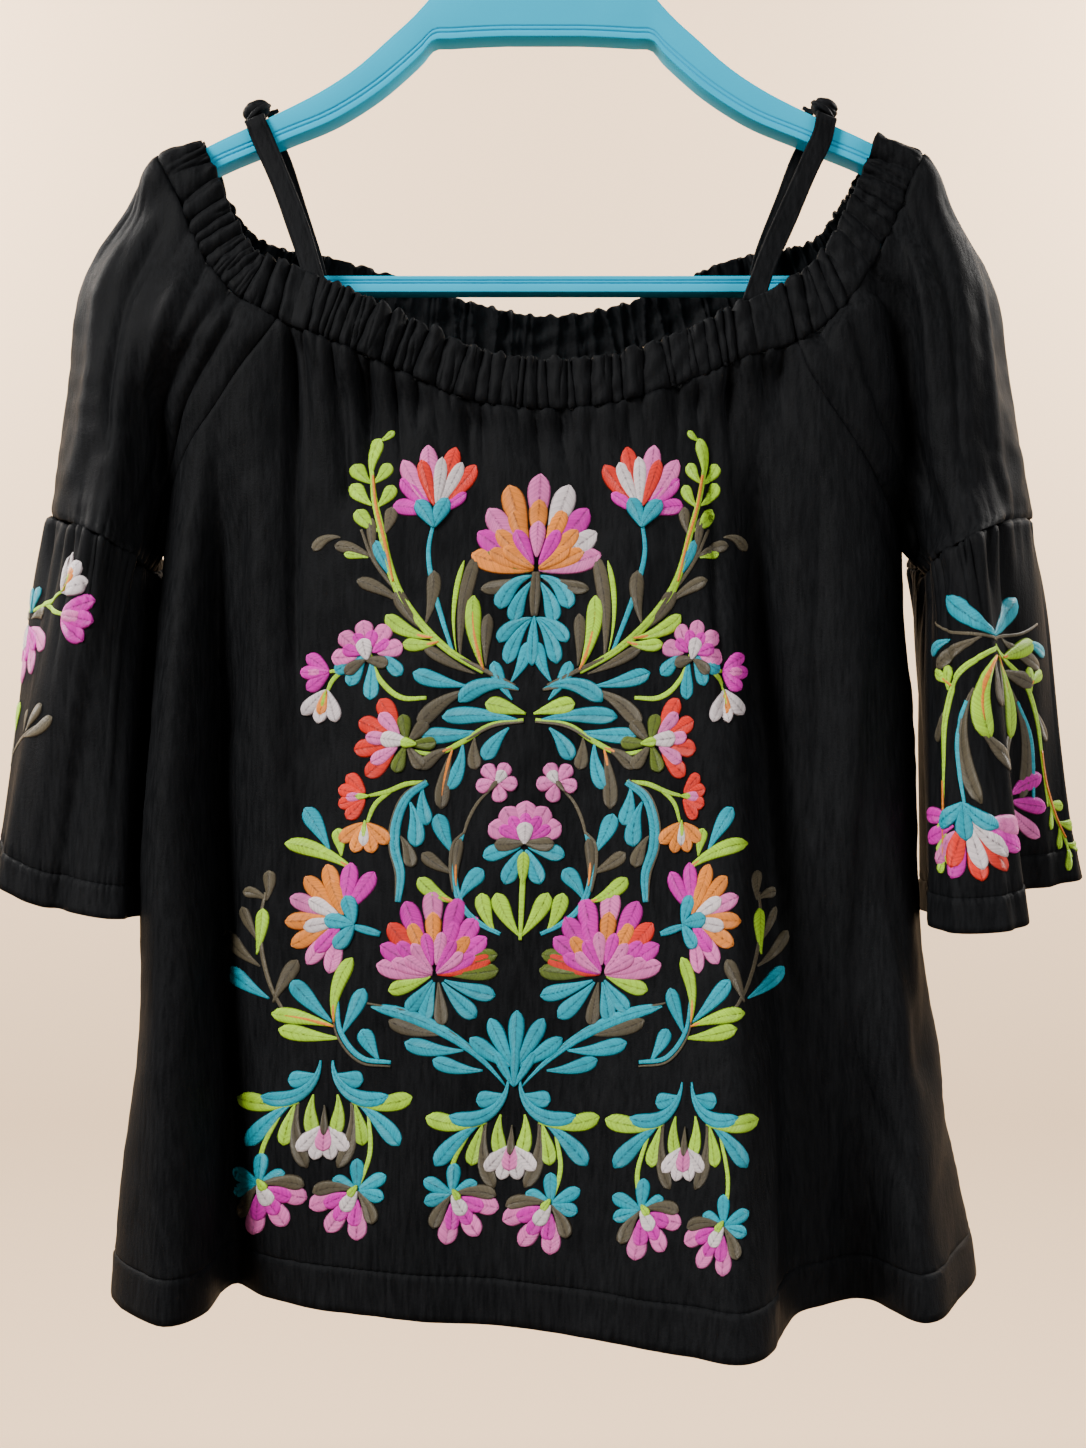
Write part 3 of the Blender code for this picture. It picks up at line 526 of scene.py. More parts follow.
def makeCrepe():
    look = crepeLook
    finish = Finish("black crepe", Specular_IOR_Level=0.3, IOR=1.15)
    grain = finish.noise(finish.place(), look["grain"], 3.0, 0.65)
    pebble = finish.noise(finish.place(), look["pebble"], 2.0, 0.6)
    # slubs: short stretched flecks that run aslant both ways; the base colour is lighter along them, partly
    # slub yarn and partly a painted sheen
    slubs = []
    for turn in (radians(38), radians(-47)):
        where = finish.place((1.0, 1.0, 0.13), (0.0, turn, 0.0))
        slubs.append(finish.noise(where, look["slubAndSheen"], 2.0, 0.55))
    slubAndSheen = (slubs[0] + slubs[1]) * 0.5
    patches = finish.noise(finish.place((1.0, 1.0, 0.45)), look["patches"], 3.0, 0.55)
    # base colour: lighter along the slubs, as slub yarn with a painted sheen; grain and patches vary the tone
    # at random
    tone = (slubAndSheen - 0.36) * 1.6 + (grain - 0.5) * 0.5 + (patches - 0.5) * 0.5
    finish.feed("Base Color", finish.mixed(tone.held(), look["dark"], look["light"]))
    finish.feed("Roughness", (look["rough"] + (slubAndSheen - 0.5) * 0.5 + (grain - 0.5) * 0.2).held())
    height = grain * 0.45 + pebble * 0.5 + slubAndSheen * 0.6
    finish.feed("Normal", finish.bump(height, 0.55, look["bump"]))
    return finish.material


def makePlastic():
    look = plasticLook
    finish = Finish("turquoise plastic", Specular_IOR_Level=0.5, IOR=1.07)
    cloudy = finish.noise(finish.place(), look["clouds"], 2.0, 0.5)
    specks = finish.noise(finish.place(), look["specks"], 1.0, 0.5)
    finish.feed("Base Color", finish.mixed(cloudy, look["dark"], look["light"]))
    finish.feed("Roughness", (look["rough"] + (cloudy - 0.5) * 0.16 + (specks - 0.5) * 0.10).held())
    finish.feed("Normal", finish.bump(specks * 0.4 + cloudy, 0.12, look["bump"]))
    return finish.material


crepe = makeCrepe()
plastic = makePlastic()
print("finishes made")


# the body: front and back

frontLook = {"columns": 330, "rows": 100, "wall": 0.0012, "tucks": 21, "tuckHeight": 0.0096,
             "tuckLength": 0.046, "hemDepth": 0.0205, "slow": 0.0011, "crumple": 0.00022, "seed": 3,
             "stiffFrom": -0.304, "stiff": 0.65}
backLook = {"columns": 270, "rows": 84, "wall": 0.0012, "tucks": 20, "tuckHeight": 0.0088,
            "tuckLength": 0.046, "hemDepth": 0.0205, "slow": 0.0011, "crumple": 0.00022, "seed": 8,
            "stiffFrom": -1.0, "stiff": 0.0}
# How a turned hem shows: its groove and pucker, and how far the turning stands out.
hemLook = {"groove": 0.0006, "pucker": 0.0004, "turnUp": 0.0005}

# Creases pressed in: from x z, to x z, width, depth; a negative depth is a ridge.
frontCreases = (
    (-0.1215, -0.262, -0.1180, -0.450, 0.0035, 0.0040),
    (-0.0975, -0.285, -0.0930, -0.360, 0.0030, 0.0035),
    (0.0800, -0.300, 0.0850, -0.470, 0.0035, 0.0045),
    (0.1040, -0.300, 0.1010, -0.560, 0.0045, 0.0050),
    (0.1330, -0.320, 0.1280, -0.520, 0.0050, 0.0035),
    (0.1500, -0.400, 0.1330, -0.725, 0.0055, -0.0035),
    (0.1640, -0.520, 0.1850, -0.640, 0.0060, 0.0030),
    (0.1400, -0.600, 0.1720, -0.680, 0.0050, 0.0022),
    (-0.0600, -0.560, -0.0350, -0.700, 0.0080, 0.0020),
    (0.0300, -0.600, 0.0450, -0.725, 0.0070, -0.0022),
    (-0.1450, -0.340, -0.1520, -0.480, 0.0045, 0.0030),
)
backCreases = (
    (-0.0900, -0.290, -0.0950, -0.480, 0.0040, 0.0040),
    (-0.0300, -0.310, -0.0260, -0.520, 0.0045, 0.0038),
    (0.0300, -0.300, 0.0360, -0.470, 0.0040, 0.0040),
    (0.0980, -0.290, 0.1050, -0.500, 0.0045, 0.0045),
    (-0.1400, -0.420, -0.1300, -0.700, 0.0060, -0.0035),
    (0.1450, -0.450, 0.1550, -0.720, 0.0065, 0.0035),
)


def raglan(name, t):
    return smooth(raglanTable[name], t)


def panelTop(u, side, start, end):
    left = raglan(side + "_left", 1.0 - u / raglanShare)
    right = raglan(side + "_right", (u - 1.0) / raglanShare + 1.0)
    middle = neckSeam(start + (end - start) * (u - raglanShare) / (1.0 - 2 * raglanShare))
    inLeft, inRight = (u < raglanShare)[:, None], (u > 1.0 - raglanShare)[:, None]
    return np.where(inLeft, left, np.where(inRight, right, middle))


def panelGrid(folds, side, start, end, look):
    # most of the columns lie between the raglan seams, for the gathers
    sideColumns = look["columns"] // 7
    u = np.concatenate((np.linspace(0.0, raglanShare, sideColumns)[:-1],
                        np.linspace(raglanShare, 1.0 - raglanShare, look["columns"] - 2 * sideColumns),
                        np.linspace(1.0 - raglanShare, 1.0, sideColumns)[1:]))
    top = panelTop(u, side, start, end)
    plans = smooth(folds, u).reshape(len(u), 3, 2)
    stitchZ = hemZ + look["hemDepth"]
    knee = stitchZ + 0.004
    hemRows = stitchZ + np.array([0.0022, 0.0012, 0.0005, 0.0, -0.0005, -0.0012, -0.0030])
    lowRows = np.concatenate((hemRows, np.linspace(stitchZ - 0.006, hemZ, 5)))
    down = np.linspace(0.0, 1.0, look["rows"]) ** 1.25  # closer rows near the gathers
    grid = np.empty((look["rows"] + len(lowRows), len(u), 3))
    for j in range(len(u)):
        z = np.concatenate((top[j, 2] + (knee - top[j, 2]) * down, lowRows))
        levels = -np.array([top[j, 2], waistZ, hipZ, hemZ])
        grid[:, j, :2] = hermite(levels, np.vstack((top[j, :2], plans[j])), -z)
        grid[:, j, 2] = z
    return u, grid


def hemGroove(grid, normal, look):
    under = hemZ + look["hemDepth"] - grid[..., 2]
    groove = hemLook["groove"] * bell(under / 0.0007)
    turnUp = hemLook["turnUp"] * fade(under / 0.001)
    pucker = hemLook["pucker"] * np.sin(acrossLengths(grid) / 0.0042 * 2 * pi) * bell(under / 0.006)
    return grid + normal * (turnUp - groove + pucker)[..., None]


def bodyPanel(side, folds, start, end, look, creases, turned):
    u, grid = panelGrid(folds, side, start, end, look)
    normal = normalsOf(grid, turned)
    down = downLengths(grid)
    along = (u - raglanShare) / (1.0 - 2 * raglanShare)
    inside = fade(np.minimum(along, 1.0 - along) / 0.02)
    spread = np.broadcast_to(along, grid.shape[:2])
    count, height, length, seed = (look[key] for key in ("tucks", "tuckHeight", "tuckLength", "seed"))
    tucks = gathers(spread, down, count, height, length, seed)
    fine = gathers(spread, down, count * 2 - 7, height * 0.30, length * 0.35, seed + 40)
    opening = fade(0.25 + down / 0.014)
    # the stitching stiffens the cloth, so the tucks fade where they run into it
    stiff = fade((look["stiffFrom"] - grid[..., 2]) / 0.03) * fade(5.5 - np.abs(grid[..., 0]) / 0.02)
    opening = opening * (1.0 - look["stiff"] * stiff)
    grid = grid + normal * ((tucks * opening + fine) * inside)[..., None]
    grid = troughs(grid, creases, normal)
    across = acrossLengths(grid)
    slow = softWaves(across, grid[..., 2] * 0.5, 0.085, seed + 1) * look["slow"]
    crumple = softWaves(across, grid[..., 2], 0.024, seed + 2) * look["crumple"]
    edgeFade = fade(np.minimum(across, across[:, -1:] - across) / 0.02)
    grid = grid + normal * ((slow + crumple) * edgeFade * fade(down / 0.03))[..., None]
    normal = normalsOf(grid, turned)
    grid = seamGroove(grid, normal, ("first", "last", "top"))
    grid = hemGroove(grid, normal, look)
    clothPiece("blouse_" + side, side, grid, look["wall"], turned)
    return grid


frontCloth = bodyPanel("front", frontFolds, frontLeft, frontRight, frontLook, frontCreases, False)
bodyPanel("back", backFolds, backLeft, backRight, backLook, backCreases, True)
print("body cut and hung")


# sleeves and flounces

sleeveLook = {"columns": 180, "rows": 84, "wall": 0.0012, "tucks": 15, "tuckHeight": 0.0046,
              "tuckLength": 0.045, "cuffTucks": 40, "cuffHeight": 0.0016, "cuffLength": 0.018,
              "slow": 0.0008, "crumple": 0.00022}
flounceLook = {"columns": 250, "rows": 62, "wall": 0.0012, "tucks": 42, "tuckHeight": 0.0040,
               "tuckLength": 0.034, "hemDepth": 0.0160, "drop": 0.176, "folds": 15, "foldHeight": 0.0034,
               "foldLength": 0.12, "sway": 0.0006, "puckers": 60}

# Creases down a sleeve: from a b, to a b, width in a, depth; a goes round it and b goes down.
leftSleeveCreases = (
    (0.150, 0.02, 0.190, 0.80, 0.016, 0.0032),
    (0.100, 0.10, 0.105, 0.95, 0.014, 0.0030),
    (0.245, 0.05, 0.235, 0.98, 0.018, -0.0026),
    (0.330, 0.00, 0.340, 0.75, 0.016, 0.0028),
    (0.400, 0.20, 0.420, 0.95, 0.020, -0.0018),
    (0.600, 0.05, 0.590, 0.90, 0.022, 0.0028),
    (0.720, 0.10, 0.700, 0.85, 0.018, -0.0026),
    (0.840, 0.10, 0.830, 0.95, 0.018, 0.0030),
)
rightSleeveCreases = (
    (0.170, 0.00, 0.205, 0.90, 0.014, 0.0034),
    (0.110, 0.05, 0.110, 0.80, 0.014, 0.0026),
    (0.290, 0.08, 0.262, 0.97, 0.016, -0.0026),
    (0.350, 0.00, 0.345, 0.85, 0.014, 0.0026),
    (0.425, 0.25, 0.420, 0.99, 0.012, -0.0022),
    (0.610, 0.05, 0.600, 0.90, 0.022, 0.0028),
    (0.730, 0.10, 0.720, 0.85, 0.018, -0.0026),
    (0.850, 0.10, 0.840, 0.95, 0.018, 0.0030),
)


def turnedBack(places):
    # the same places on the back of the sleeve, in the opposite order
    return [np.array((x, -y, z)) for x, y, z in reversed(places)]


def sleeveLevels(sections, ring, side, neckAt):
    # the lines round a sleeve that it's drawn through, and how far down it each lies
    levels = [neckSeam(neckAt)]
    for t, *places in sections:
        levels.append(np.vstack([raglan("front_" + side, t), places, turnedBack(places[:-1]),
                                 raglan("back_" + side, t)]))
    levels.append(np.vstack([ring, turnedBack(ring[1:-1]), ring[:1]]))
    down = [0.0] + [0.2 + 0.72 * section[0] for section in sections[:-1]] + [0.93, 1.0]
    return down, np.array(levels)


def alongCreases(a, b, table):
    depth = np.zeros(np.broadcast(a, b).shape)
    for fromA, fromB, toA, toB, width, deep in table:
        t = (b - fromB) / (toB - fromB)
        ends = fade(t / 0.2) * fade((1 - t) / 0.2)
        depth = depth + deep * ends * bell((a - fromA - (toA - fromA) * t) / width)
    return depth


def makeSleeve(side, sections, ring, hem, neckAt, creases, seed):
    look, turned = sleeveLook, side == "left"
    a = np.linspace(0.0, 1.0, look["columns"])
    underarm = look["rows"] - 12
    b = np.concatenate((np.linspace(0.0, 0.93, underarm + 1), np.linspace(0.93, 1.0, 12)[1:]))
    down, levels = sleeveLevels(sections, ring, side, neckAt)
    lofted = hermite(down, levels, b)
    grid = np.stack([hermite(np.linspace(0.0, 1.0, levels.shape[1]), level, a) for level in lofted])
    ringLine = grid[-1].copy()
    normal = normalsOf(grid, turned)
    downward = downLengths(grid)
    upward = downward[-1:] - downward
    spread = np.broadcast_to(a, grid.shape[:2])
    lift = gathers(spread, downward, look["tucks"], look["tuckHeight"], look["tuckLength"], seed)
    lift = lift + gathers(spread, upward, look["cuffTucks"], look["cuffHeight"], look["cuffLength"], seed + 5)
    lift = lift * fade(np.minimum(a, 1 - a) / 0.03)
    lift = lift - alongCreases(a[None, :], b[:, None], creases)
    across = acrossLengths(grid)
    edge = fade(np.minimum(across, across[:, -1:] - across) / 0.015)
    lift = lift + (softWaves(across, grid[..., 2] * 0.5, 0.06, seed + 1) * look["slow"]
                   + softWaves(across, grid[..., 2], 0.02, seed + 2) * look["crumple"]) * edge
    grid = grid + normal * overArmTips(grid, lift)[..., None]
    grid = seamGroove(grid, normalsOf(grid, turned), ("first", "last", "top", "bottom"))
    # below the underarm the two raglan edges meet and close into a ring
    blend = fade((np.arange(look["rows"]) - underarm + 3) / 3.0)[:, None]
    shared = (grid[:, 0] + grid[:, -1]) / 2
    grid[:, 0] = grid[:, 0] * (1 - blend) + shared * blend
    grid[:, -1] = grid[:, -1] * (1 - blend) + shared * blend
    clothPiece("blouse_" + side + "_sleeve", side + "_sleeve", grid, look["wall"], turned, underarm)
    return makeFlounce(side, ringLine, hem, seed + 20)


def makeFlounce(side, ringLine, hem, seed):
    look, turned = flounceLook, side == "left"
    along = np.linspace(0.0, 1.0, look["columns"])
    hemLine = smooth(hem, along)
    ringLine = hermite(np.linspace(0, 1, len(ringLine)), ringLine, along)
    outward = ringLine - ringLine[:-1].mean(axis=0)
    outward[:, 2] = 0.0
    outward = unit(outward)
    hemAt = 1.0 - look["hemDepth"] / look["drop"]
    rows = np.concatenate((np.linspace(0.0, hemAt - 0.02, look["rows"] - 10) ** 1.15,
                           hemAt + np.array([-0.008, -0.003, 0.0, 0.003, 0.008]),
                           np.linspace(hemAt + 0.02, 1.0, 5)))
    grid = []
    for v in rows:
        puff = flouncePuff * sin(pi * v**0.6) * (1.0 - v)
        grid.append(ringLine * (1.0 - v) + hemLine * v + outward * puff)
    grid = np.array(grid)
    grid[:, -1] = grid[:, 0]
    normal = normalsOf(grid, turned)
    normal[:, -1] = normal[:, 0]
    downward = downLengths(grid)
    spread = np.broadcast_to(along, grid.shape[:2])
    lift = gathers(spread, downward, look["tucks"], look["tuckHeight"], look["tuckLength"], seed)
    lift = lift * fade(0.45 + downward / 0.006)
    lift = lift + gathers(spread, downward, look["folds"], look["foldHeight"], look["foldLength"],
                          seed + 3, 0.26)
    # slow waves that close round the flounce
    dice = np.random.default_rng(seed + 9)
    for count in (5, 7, 11, 17):
        shift, lean = dice.uniform(0, 2 * pi), dice.uniform(-1.5, 1.5)
        wave = np.sin(spread * count * 2 * pi + shift + rows[:, None] * lean)
        lift = lift + look["sway"] * wave * rows[:, None]
    grid = grid + normal * lift[..., None]
    normal = normalsOf(grid, turned)
    normal[:, -1] = normal[:, 0]
    under = (rows[:, None] - hemAt) * look["drop"]
    groove = hemLook["groove"] * bell(under / 0.0008)
    turnUp = hemLook["turnUp"] * fade(under / 0.001)
    pucker = hemLook["pucker"] * np.sin(spread * look["puckers"] * 2 * pi) * bell(under / 0.005)
    grid = grid + normal * (turnUp - groove + pucker)[..., None]
    grid = seamGroove(grid, normal, ("top",))
    grid[:, -1] = grid[:, 0]
    clothPiece("blouse_" + side + "_flounce", side + "_flounce", grid, look["wall"], turned, 0)
    return grid


leftFlounceCloth = makeSleeve("left", leftSleeveTable, leftRing, leftFlounceHem, sleeveNeckLeft,
                              leftSleeveCreases, 31)
rightFlounceCloth = makeSleeve("right", rightSleeveTable, rightRing, rightFlounceHem, sleeveNeckRight,
                               rightSleeveCreases, 61)
print("sleeves and flounces made")


# the gathered neck casing

casingLook = {"wall": 0.0010, "rows": 26, "pleatColumns": 14, "height": 0.0044, "bow": 0.0012,
              "frill": 0.0011, "slant": 0.0075, "pinches": 1.1, "pinchDepth": 0.0022, "slow": 0.0005}

# Each length: name, node, from s, to s, how many ruffles, seed, and the smooth places where a
# strap is sewn on: middle and width, as shares of the length.
casingLengths = (
    ("casing_front", "front_casing", frontLeft, frontRight, 40, 5, ((0.040, 0.030), (0.962, 0.030))),
    ("casing_right", "right_casing", frontRight, backRight, 26, 6, ()),
    ("casing_back", "back_casing", backRight, backLeft, 36, 7, ((0.13, 0.020), (0.87, 0.020))),
    ("casing_left", "left_casing", backLeft, 1.0 + frontLeft, 24, 9, ()),
)


def makeCasing(name, node, start, end, count, seed, patches):
    look = casingLook
    along = np.linspace(0.0, 1.0, count * look["pleatColumns"])
    s = start + (end - start) * along
    edge, seam = neckEdge(s), neckSeam(s)
    middle = (edge + seam) / 2
    outward = middle * (0.0, 1.0, 0.0) + (0.0, 0.0, 0.004)
    outward = unit(outward)
    v = np.linspace(0.0, 1.0, look["rows"])[:, None]
    bow = (4 * v * (1 - v))[..., None] * look["bow"]
    grid = edge * (1 - v)[..., None] + seam * v[..., None] + outward * bow
    normal = normalsOf(grid, False)
    edges, dice = unevenSplit(count, seed, 0.72)
    lean = look["slant"] * dice.uniform(-1.0, 1.0, count + 1)
    lean[0] = lean[-1] = 0.0
    tall = look["height"] * (1.0 + 0.6 * dice.uniform(-1.0, 1.0, count)) * np.sqrt(np.diff(edges) * count)
    # each ruffle's two sides lean their own way, so that the creases run slightly aslant
    spread = np.broadcast_to(along, grid.shape[:2])
    lines = edges[None, :] + lean[None, :] * (0.5 - v) * 1.6
    lift = np.zeros(grid.shape[:2])
    for i in range(len(v)):
        cell = np.clip(np.searchsorted(lines[i], along, side="right") - 1, 0, count - 1)
        f = fade((along - lines[i][cell]) / (lines[i][cell + 1] - lines[i][cell]))
        lift[i] = tall[cell] * (np.abs(np.sin(pi * f)) ** 0.62 - 0.55)
    # short pinches that run only part of the way, aslant over a ruffle
    for _ in range(int(count * look["pinches"])):
        at, tilt, deep = dice.uniform(0.02, 0.98), dice.uniform(-0.014, 0.014), dice.uniform(0.35, 1.0)
        level, reach, wide = dice.uniform(-0.1, 1.1), dice.uniform(0.22, 0.55), dice.uniform(0.0016, 0.0038)
        apart = np.abs((along - at - tilt * (v - level)) / wide)
        lift = lift - look["pinchDepth"] * deep * bell((v - level) / reach) * np.exp(-apart ** 1.3)
    # the header above the elastic opens out, the channel is drawn flat across its middle
    profile = 0.62 + 0.55 * bell(v / 0.22) + 0.25 * bell((v - 0.95) / 0.2)
    smoothPatch = np.ones(grid.shape[:2])
    for centre, wide in patches:
        smoothPatch = smoothPatch * (1.0 - 0.9 * np.exp(-((spread - centre) / wide) ** 4))
    lift = lift * profile * smoothPatch
    lift = lift + look["slow"] * softWaves(spread, v * 0.1, 0.06, seed + 2) * smoothPatch
    grid = grid + normal * overArmTips(grid, lift)[..., None]
    waves = np.sin(spread * count * 2 * pi * 0.71 + 1.0) * 0.6 + np.sin(spread * count * 2 * pi * 1.37) * 0.4
    grid[..., 2] += look["frill"] * waves * np.exp(-v / 0.12) * smoothPatch
    grid = seamGroove(grid, normalsOf(grid, False), ("bottom",), 0.0014, 0.003)
    clothPiece(name, node, grid, look["wall"], False)


for length in casingLengths:
    makeCasing(*length)
print("neck gathered")


# thin straps, tied over the hanger's arms

strapLook = {"width": 0.0105, "thick": 0.0018, "steps": 90}
knotLook = {"size": (0.0142, 0.0125, 0.0100), "rings": 30, "around": 56, "creaseDepth": 0.13,
            "bandRadius": 0.0066, "band": 0.0013, "bandFoot": -0.0052, "bandRise": 0.0050,
            "tip": 0.0016, "tipFrom": 0.0040, "tipLong": 0.0060}

# Half of the folded tape's section, across and thick: raised edges, and a hollow line of
# stitching inside each.
tapeSection = ((-1, 0.1), (-0.94, 0.75), (-0.80, 1.0), (-0.70, 0.62), (-0.60, 0.88), (-0.3, 0.84), (0, 0.82),
               (0.3, 0.84), (0.60, 0.88), (0.70, 0.62), (0.80, 1.0), (0.94, 0.75), (1, 0.1))


def tube(name, section):
    # a closed skin over the rings of points given for each place along it
    mesh = bpy.data.meshes.new(name)
    index = np.arange(section.shape[0] * section.shape[1]).reshape(section.shape[:2])
    mesh.from_pydata(section.reshape(-1, 3).tolist(), [], tubeFaces(index))
    turnOutwards(mesh)
    return addPiece(name, mesh, crepe)


def turnOutwards(mesh):
    work = bmesh.new()
    work.from_mesh(mesh)
    bmesh.ops.recalc_face_normals(work, faces=work.faces)
    work.to_mesh(mesh)
    work.free()


def makeStrap(name, node, table, tilt, seed):
    look = strapLook
    table = np.array(table)
    path = hermite(np.linspace(0, 1, len(table)), table, np.linspace(0, 1, look["steps"]))
    along = unit(np.gradient(path, axis=0))
    wide = np.tile(np.array((cos(tilt), 0.0, sin(tilt))), (len(path), 1))
    wide = unit(wide - along * np.sum(wide * along, axis=1)[:, None])
    out = np.cross(along, wide)
    half = np.array(tapeSection)
    ring = np.concatenate((half, half[::-1] * (1.0, -1.0)))
    wave = 1.0 + 0.03 * np.sin(np.linspace(0, 40, len(path)) + seed)
    section = (path[:, None] + wide[:, None] * ring[None, :, :1] * (look["width"] / 2 * wave)[:, None, None]
               + out[:, None] * ring[None, :, 1:] * look["thick"] / 2)
    handIn(tube(name, section), "black_crepe", node)


def rolled(path, radius, ends=1.0):
    # a twisted roll of tape along a line, tapering to its ends
    along = unit(np.gradient(path, axis=0))
    first = unit(np.cross(along, (0.31, 0.2, 0.93)))
    second = np.cross(along, first)
    a = np.linspace(0, 2 * pi, 12, endpoint=False)[None, :, None]
    twist = 1.0 + 0.12 * np.sin(3 * a + np.linspace(0, 9, len(path))[:, None, None])
    taper = np.linspace(1.0, ends, len(path))[:, None, None]
    return path[:, None] + (first[:, None] * np.cos(a) + second[:, None] * np.sin(a)) * radius * twist * taper


def makeKnot(name, node, place, tilt, seed):
    # a lump of knotted tape with a rolled band round its foot and a tip sticking out
    look = knotLook
    side = 1.0 if place[0] < 0 else -1.0
    turn = np.array(Matrix.Rotation(-tilt, 3, "Y"))

    def setDown(points):
        return points @ turn.T + np.array(place)

    a = np.linspace(0, 2 * pi, look["around"], endpoint=False)[None, :]
    h = np.linspace(0, pi, look["rings"])[1:-1, None]
    folds = (1.0 + 0.03 * np.sin(2 * a + 1.4 * h + seed)
             + 0.02 * np.sin(5 * a - 2.0 * h + seed * 2) * np.sin(h))
    crease = -look["creaseDepth"] * bell((h - 1.15 - 0.45 * np.sin(a + 0.6 + seed)) / 0.10) * np.sin(h)
    radius = 0.5 * (folds + crease)
    ball = (radius * np.sin(h) * np.cos(a), radius * np.sin(h) * np.sin(a), radius * np.cos(h))
    lump = np.stack([reach * size for reach, size in zip(ball, look["size"])], axis=-1)
    # the rolled band, passed diagonally over the front foot of the lump
    t = np.linspace(0, 1, 34)[:, None]
    arc = radians(200) + radians(150) * t
    rise = t if side > 0 else 1.0 - t
    band = np.concatenate((look["bandRadius"] * np.cos(arc), look["bandRadius"] * np.sin(arc),
                           look["bandFoot"] + look["bandRise"] * rise), axis=1)
    tip = np.concatenate((side * (look["tipFrom"] + look["tipLong"] * t), 0.0030 + 0.001 * t,
                          -0.0030 + 0.0010 * t), axis=1)
    knot = tube(name, setDown(lump))
    takeUp(knot, tube(name + "_band", rolled(setDown(band), look["band"])),
           tube(name + "_tip", rolled(setDown(tip), look["tip"], 0.6)))
    bpy.ops.object.join()
    handIn(knot, "black_crepe", node)


makeStrap("strap_left", "left_strap", leftStrapPath, strapTilt, 0.5)
makeStrap("strap_right", "right_strap", rightStrapPath, -strapTilt, 2.0)
makeKnot("knot_left", "left_strap_knot", knotPlaces["left"], strapTilt, 0.6)
makeKnot("knot_right", "right_strap_knot", knotPlaces["right"], -strapTilt, 2.2)
print("straps tied")


# the plastic hanger

hangerLook = {"depth": 0.0130, "barDepth": 0.0110, "ribbed": 0.0115,
              "grooveRows": (0.0058, 0.0053, 0.0049, 0.0037, 0.0033, 0.0028),
              "hollow": (2, 5), "deep": 0.0009, "edge": 0.0008,
              "wire": 0.0035, "hookInside": 0.0225, "hookEnd": 0.0014}

# Upper edge x z, lower edge x z, from the plate to the tip of the left arm.
armTable = (
    (-0.0543, -0.0950, -0.0543, -0.1180), (-0.0640, -0.1060, -0.0600, -0.1245),
    (-0.0760, -0.1170, -0.0695, -0.1335), (-0.0905, -0.1300, -0.0815, -0.1435),
    (-0.1080, -0.1420, -0.1015, -0.1562), (-0.1330, -0.1550, -0.1270, -0.1670),
    (-0.1675, -0.1715, -0.1620, -0.1815), (-0.1825, -0.1800, -0.1770, -0.1893),
    (-0.1880, -0.1845, -0.1835, -0.1930), (-0.1922, -0.1892, -0.1885, -0.1958),
)
# Outer edge x z, inner edge x z of the bar's left half, from under the arm's tip.
barTable = (
    (-0.1892, -0.1968, -0.1826, -0.1932), (-0.1900, -0.2110, -0.1818, -0.2100),
    (-0.1850, -0.2290, -0.1782, -0.2235), (-0.1720, -0.2410, -0.1680, -0.2335),
    (-0.1480, -0.2425, -0.1480, -0.2345), (-0.0700, -0.2425, -0.0700, -0.2345),
)
plateTable = ((0.0460, -0.0830), (0.0380, -0.0725), (0.0290, -0.0650), (0.0180, -0.0612))
# The plate's top, its foot, and how far the foot bows up in the middle.
plateTop, plateFoot, plateArch = -0.0607, -0.1180, 0.0022


def pick(test):
    mesh = bpy.context.edit_object.data
    work = bmesh.from_edit_mesh(mesh)
    for part in (*work.faces, *work.edges, *work.verts):
        part.select_set(False)
    for vert in work.verts:
        vert.select_set(bool(test(vert.co)))
    work.select_flush(True)
    bmesh.update_edit_mesh(mesh)


def near(x, z):
    return lambda point: abs(point.x - x) < 1e-5 and abs(point.z - z) < 1e-5


def bevelled(piece, width, segments, angle=60):
    bevel = piece.modifiers.new("edges", "BEVEL")
    bevel.width, bevel.segments, bevel.limit_method = width, segments, "ANGLE"
    bevel.angle_limit = radians(angle)


def closeMesh():
    bpy.ops.mesh.select_all(action="SELECT")
    bpy.ops.mesh.normals_make_consistent(inside=False)
    bpy.ops.object.mode_set(mode="OBJECT")
    return bpy.context.object


def openMesh():
    bpy.ops.object.mode_set(mode="EDIT")
    bpy.ops.mesh.select_all(action="SELECT")


def finished(name, nodes, smoothAngle=35):
    piece = bpy.context.object
    piece.name = piece.data.name = name
    takeUp(piece)
    bpy.ops.object.transform_apply(location=True, rotation=True, scale=True)
    applyModifiers(piece)
    bpy.ops.object.shade_smooth_by_angle(angle=radians(smoothAngle))
    piece.data.materials.clear()
    piece.data.materials.append(plastic)
    handIn(piece, "hanger_plastic", *nodes)


def sectionRows(row):
    # places down a section: the top edge, the grooves at fixed heights over the lower edge,
    # the lower edge; the heights shrink where the bar is thinner than its ribbed part
    up, low = np.array((row[0], row[1])), np.array((row[2], row[3]))
    tall, ribbed = np.linalg.norm(up - low), hangerLook["ribbed"]
    heights = [tall] + [height * min(tall, ribbed) / ribbed for height in hangerLook["grooveRows"]] + [0.0]
    return [low + (up - low) * height / tall for height in heights]


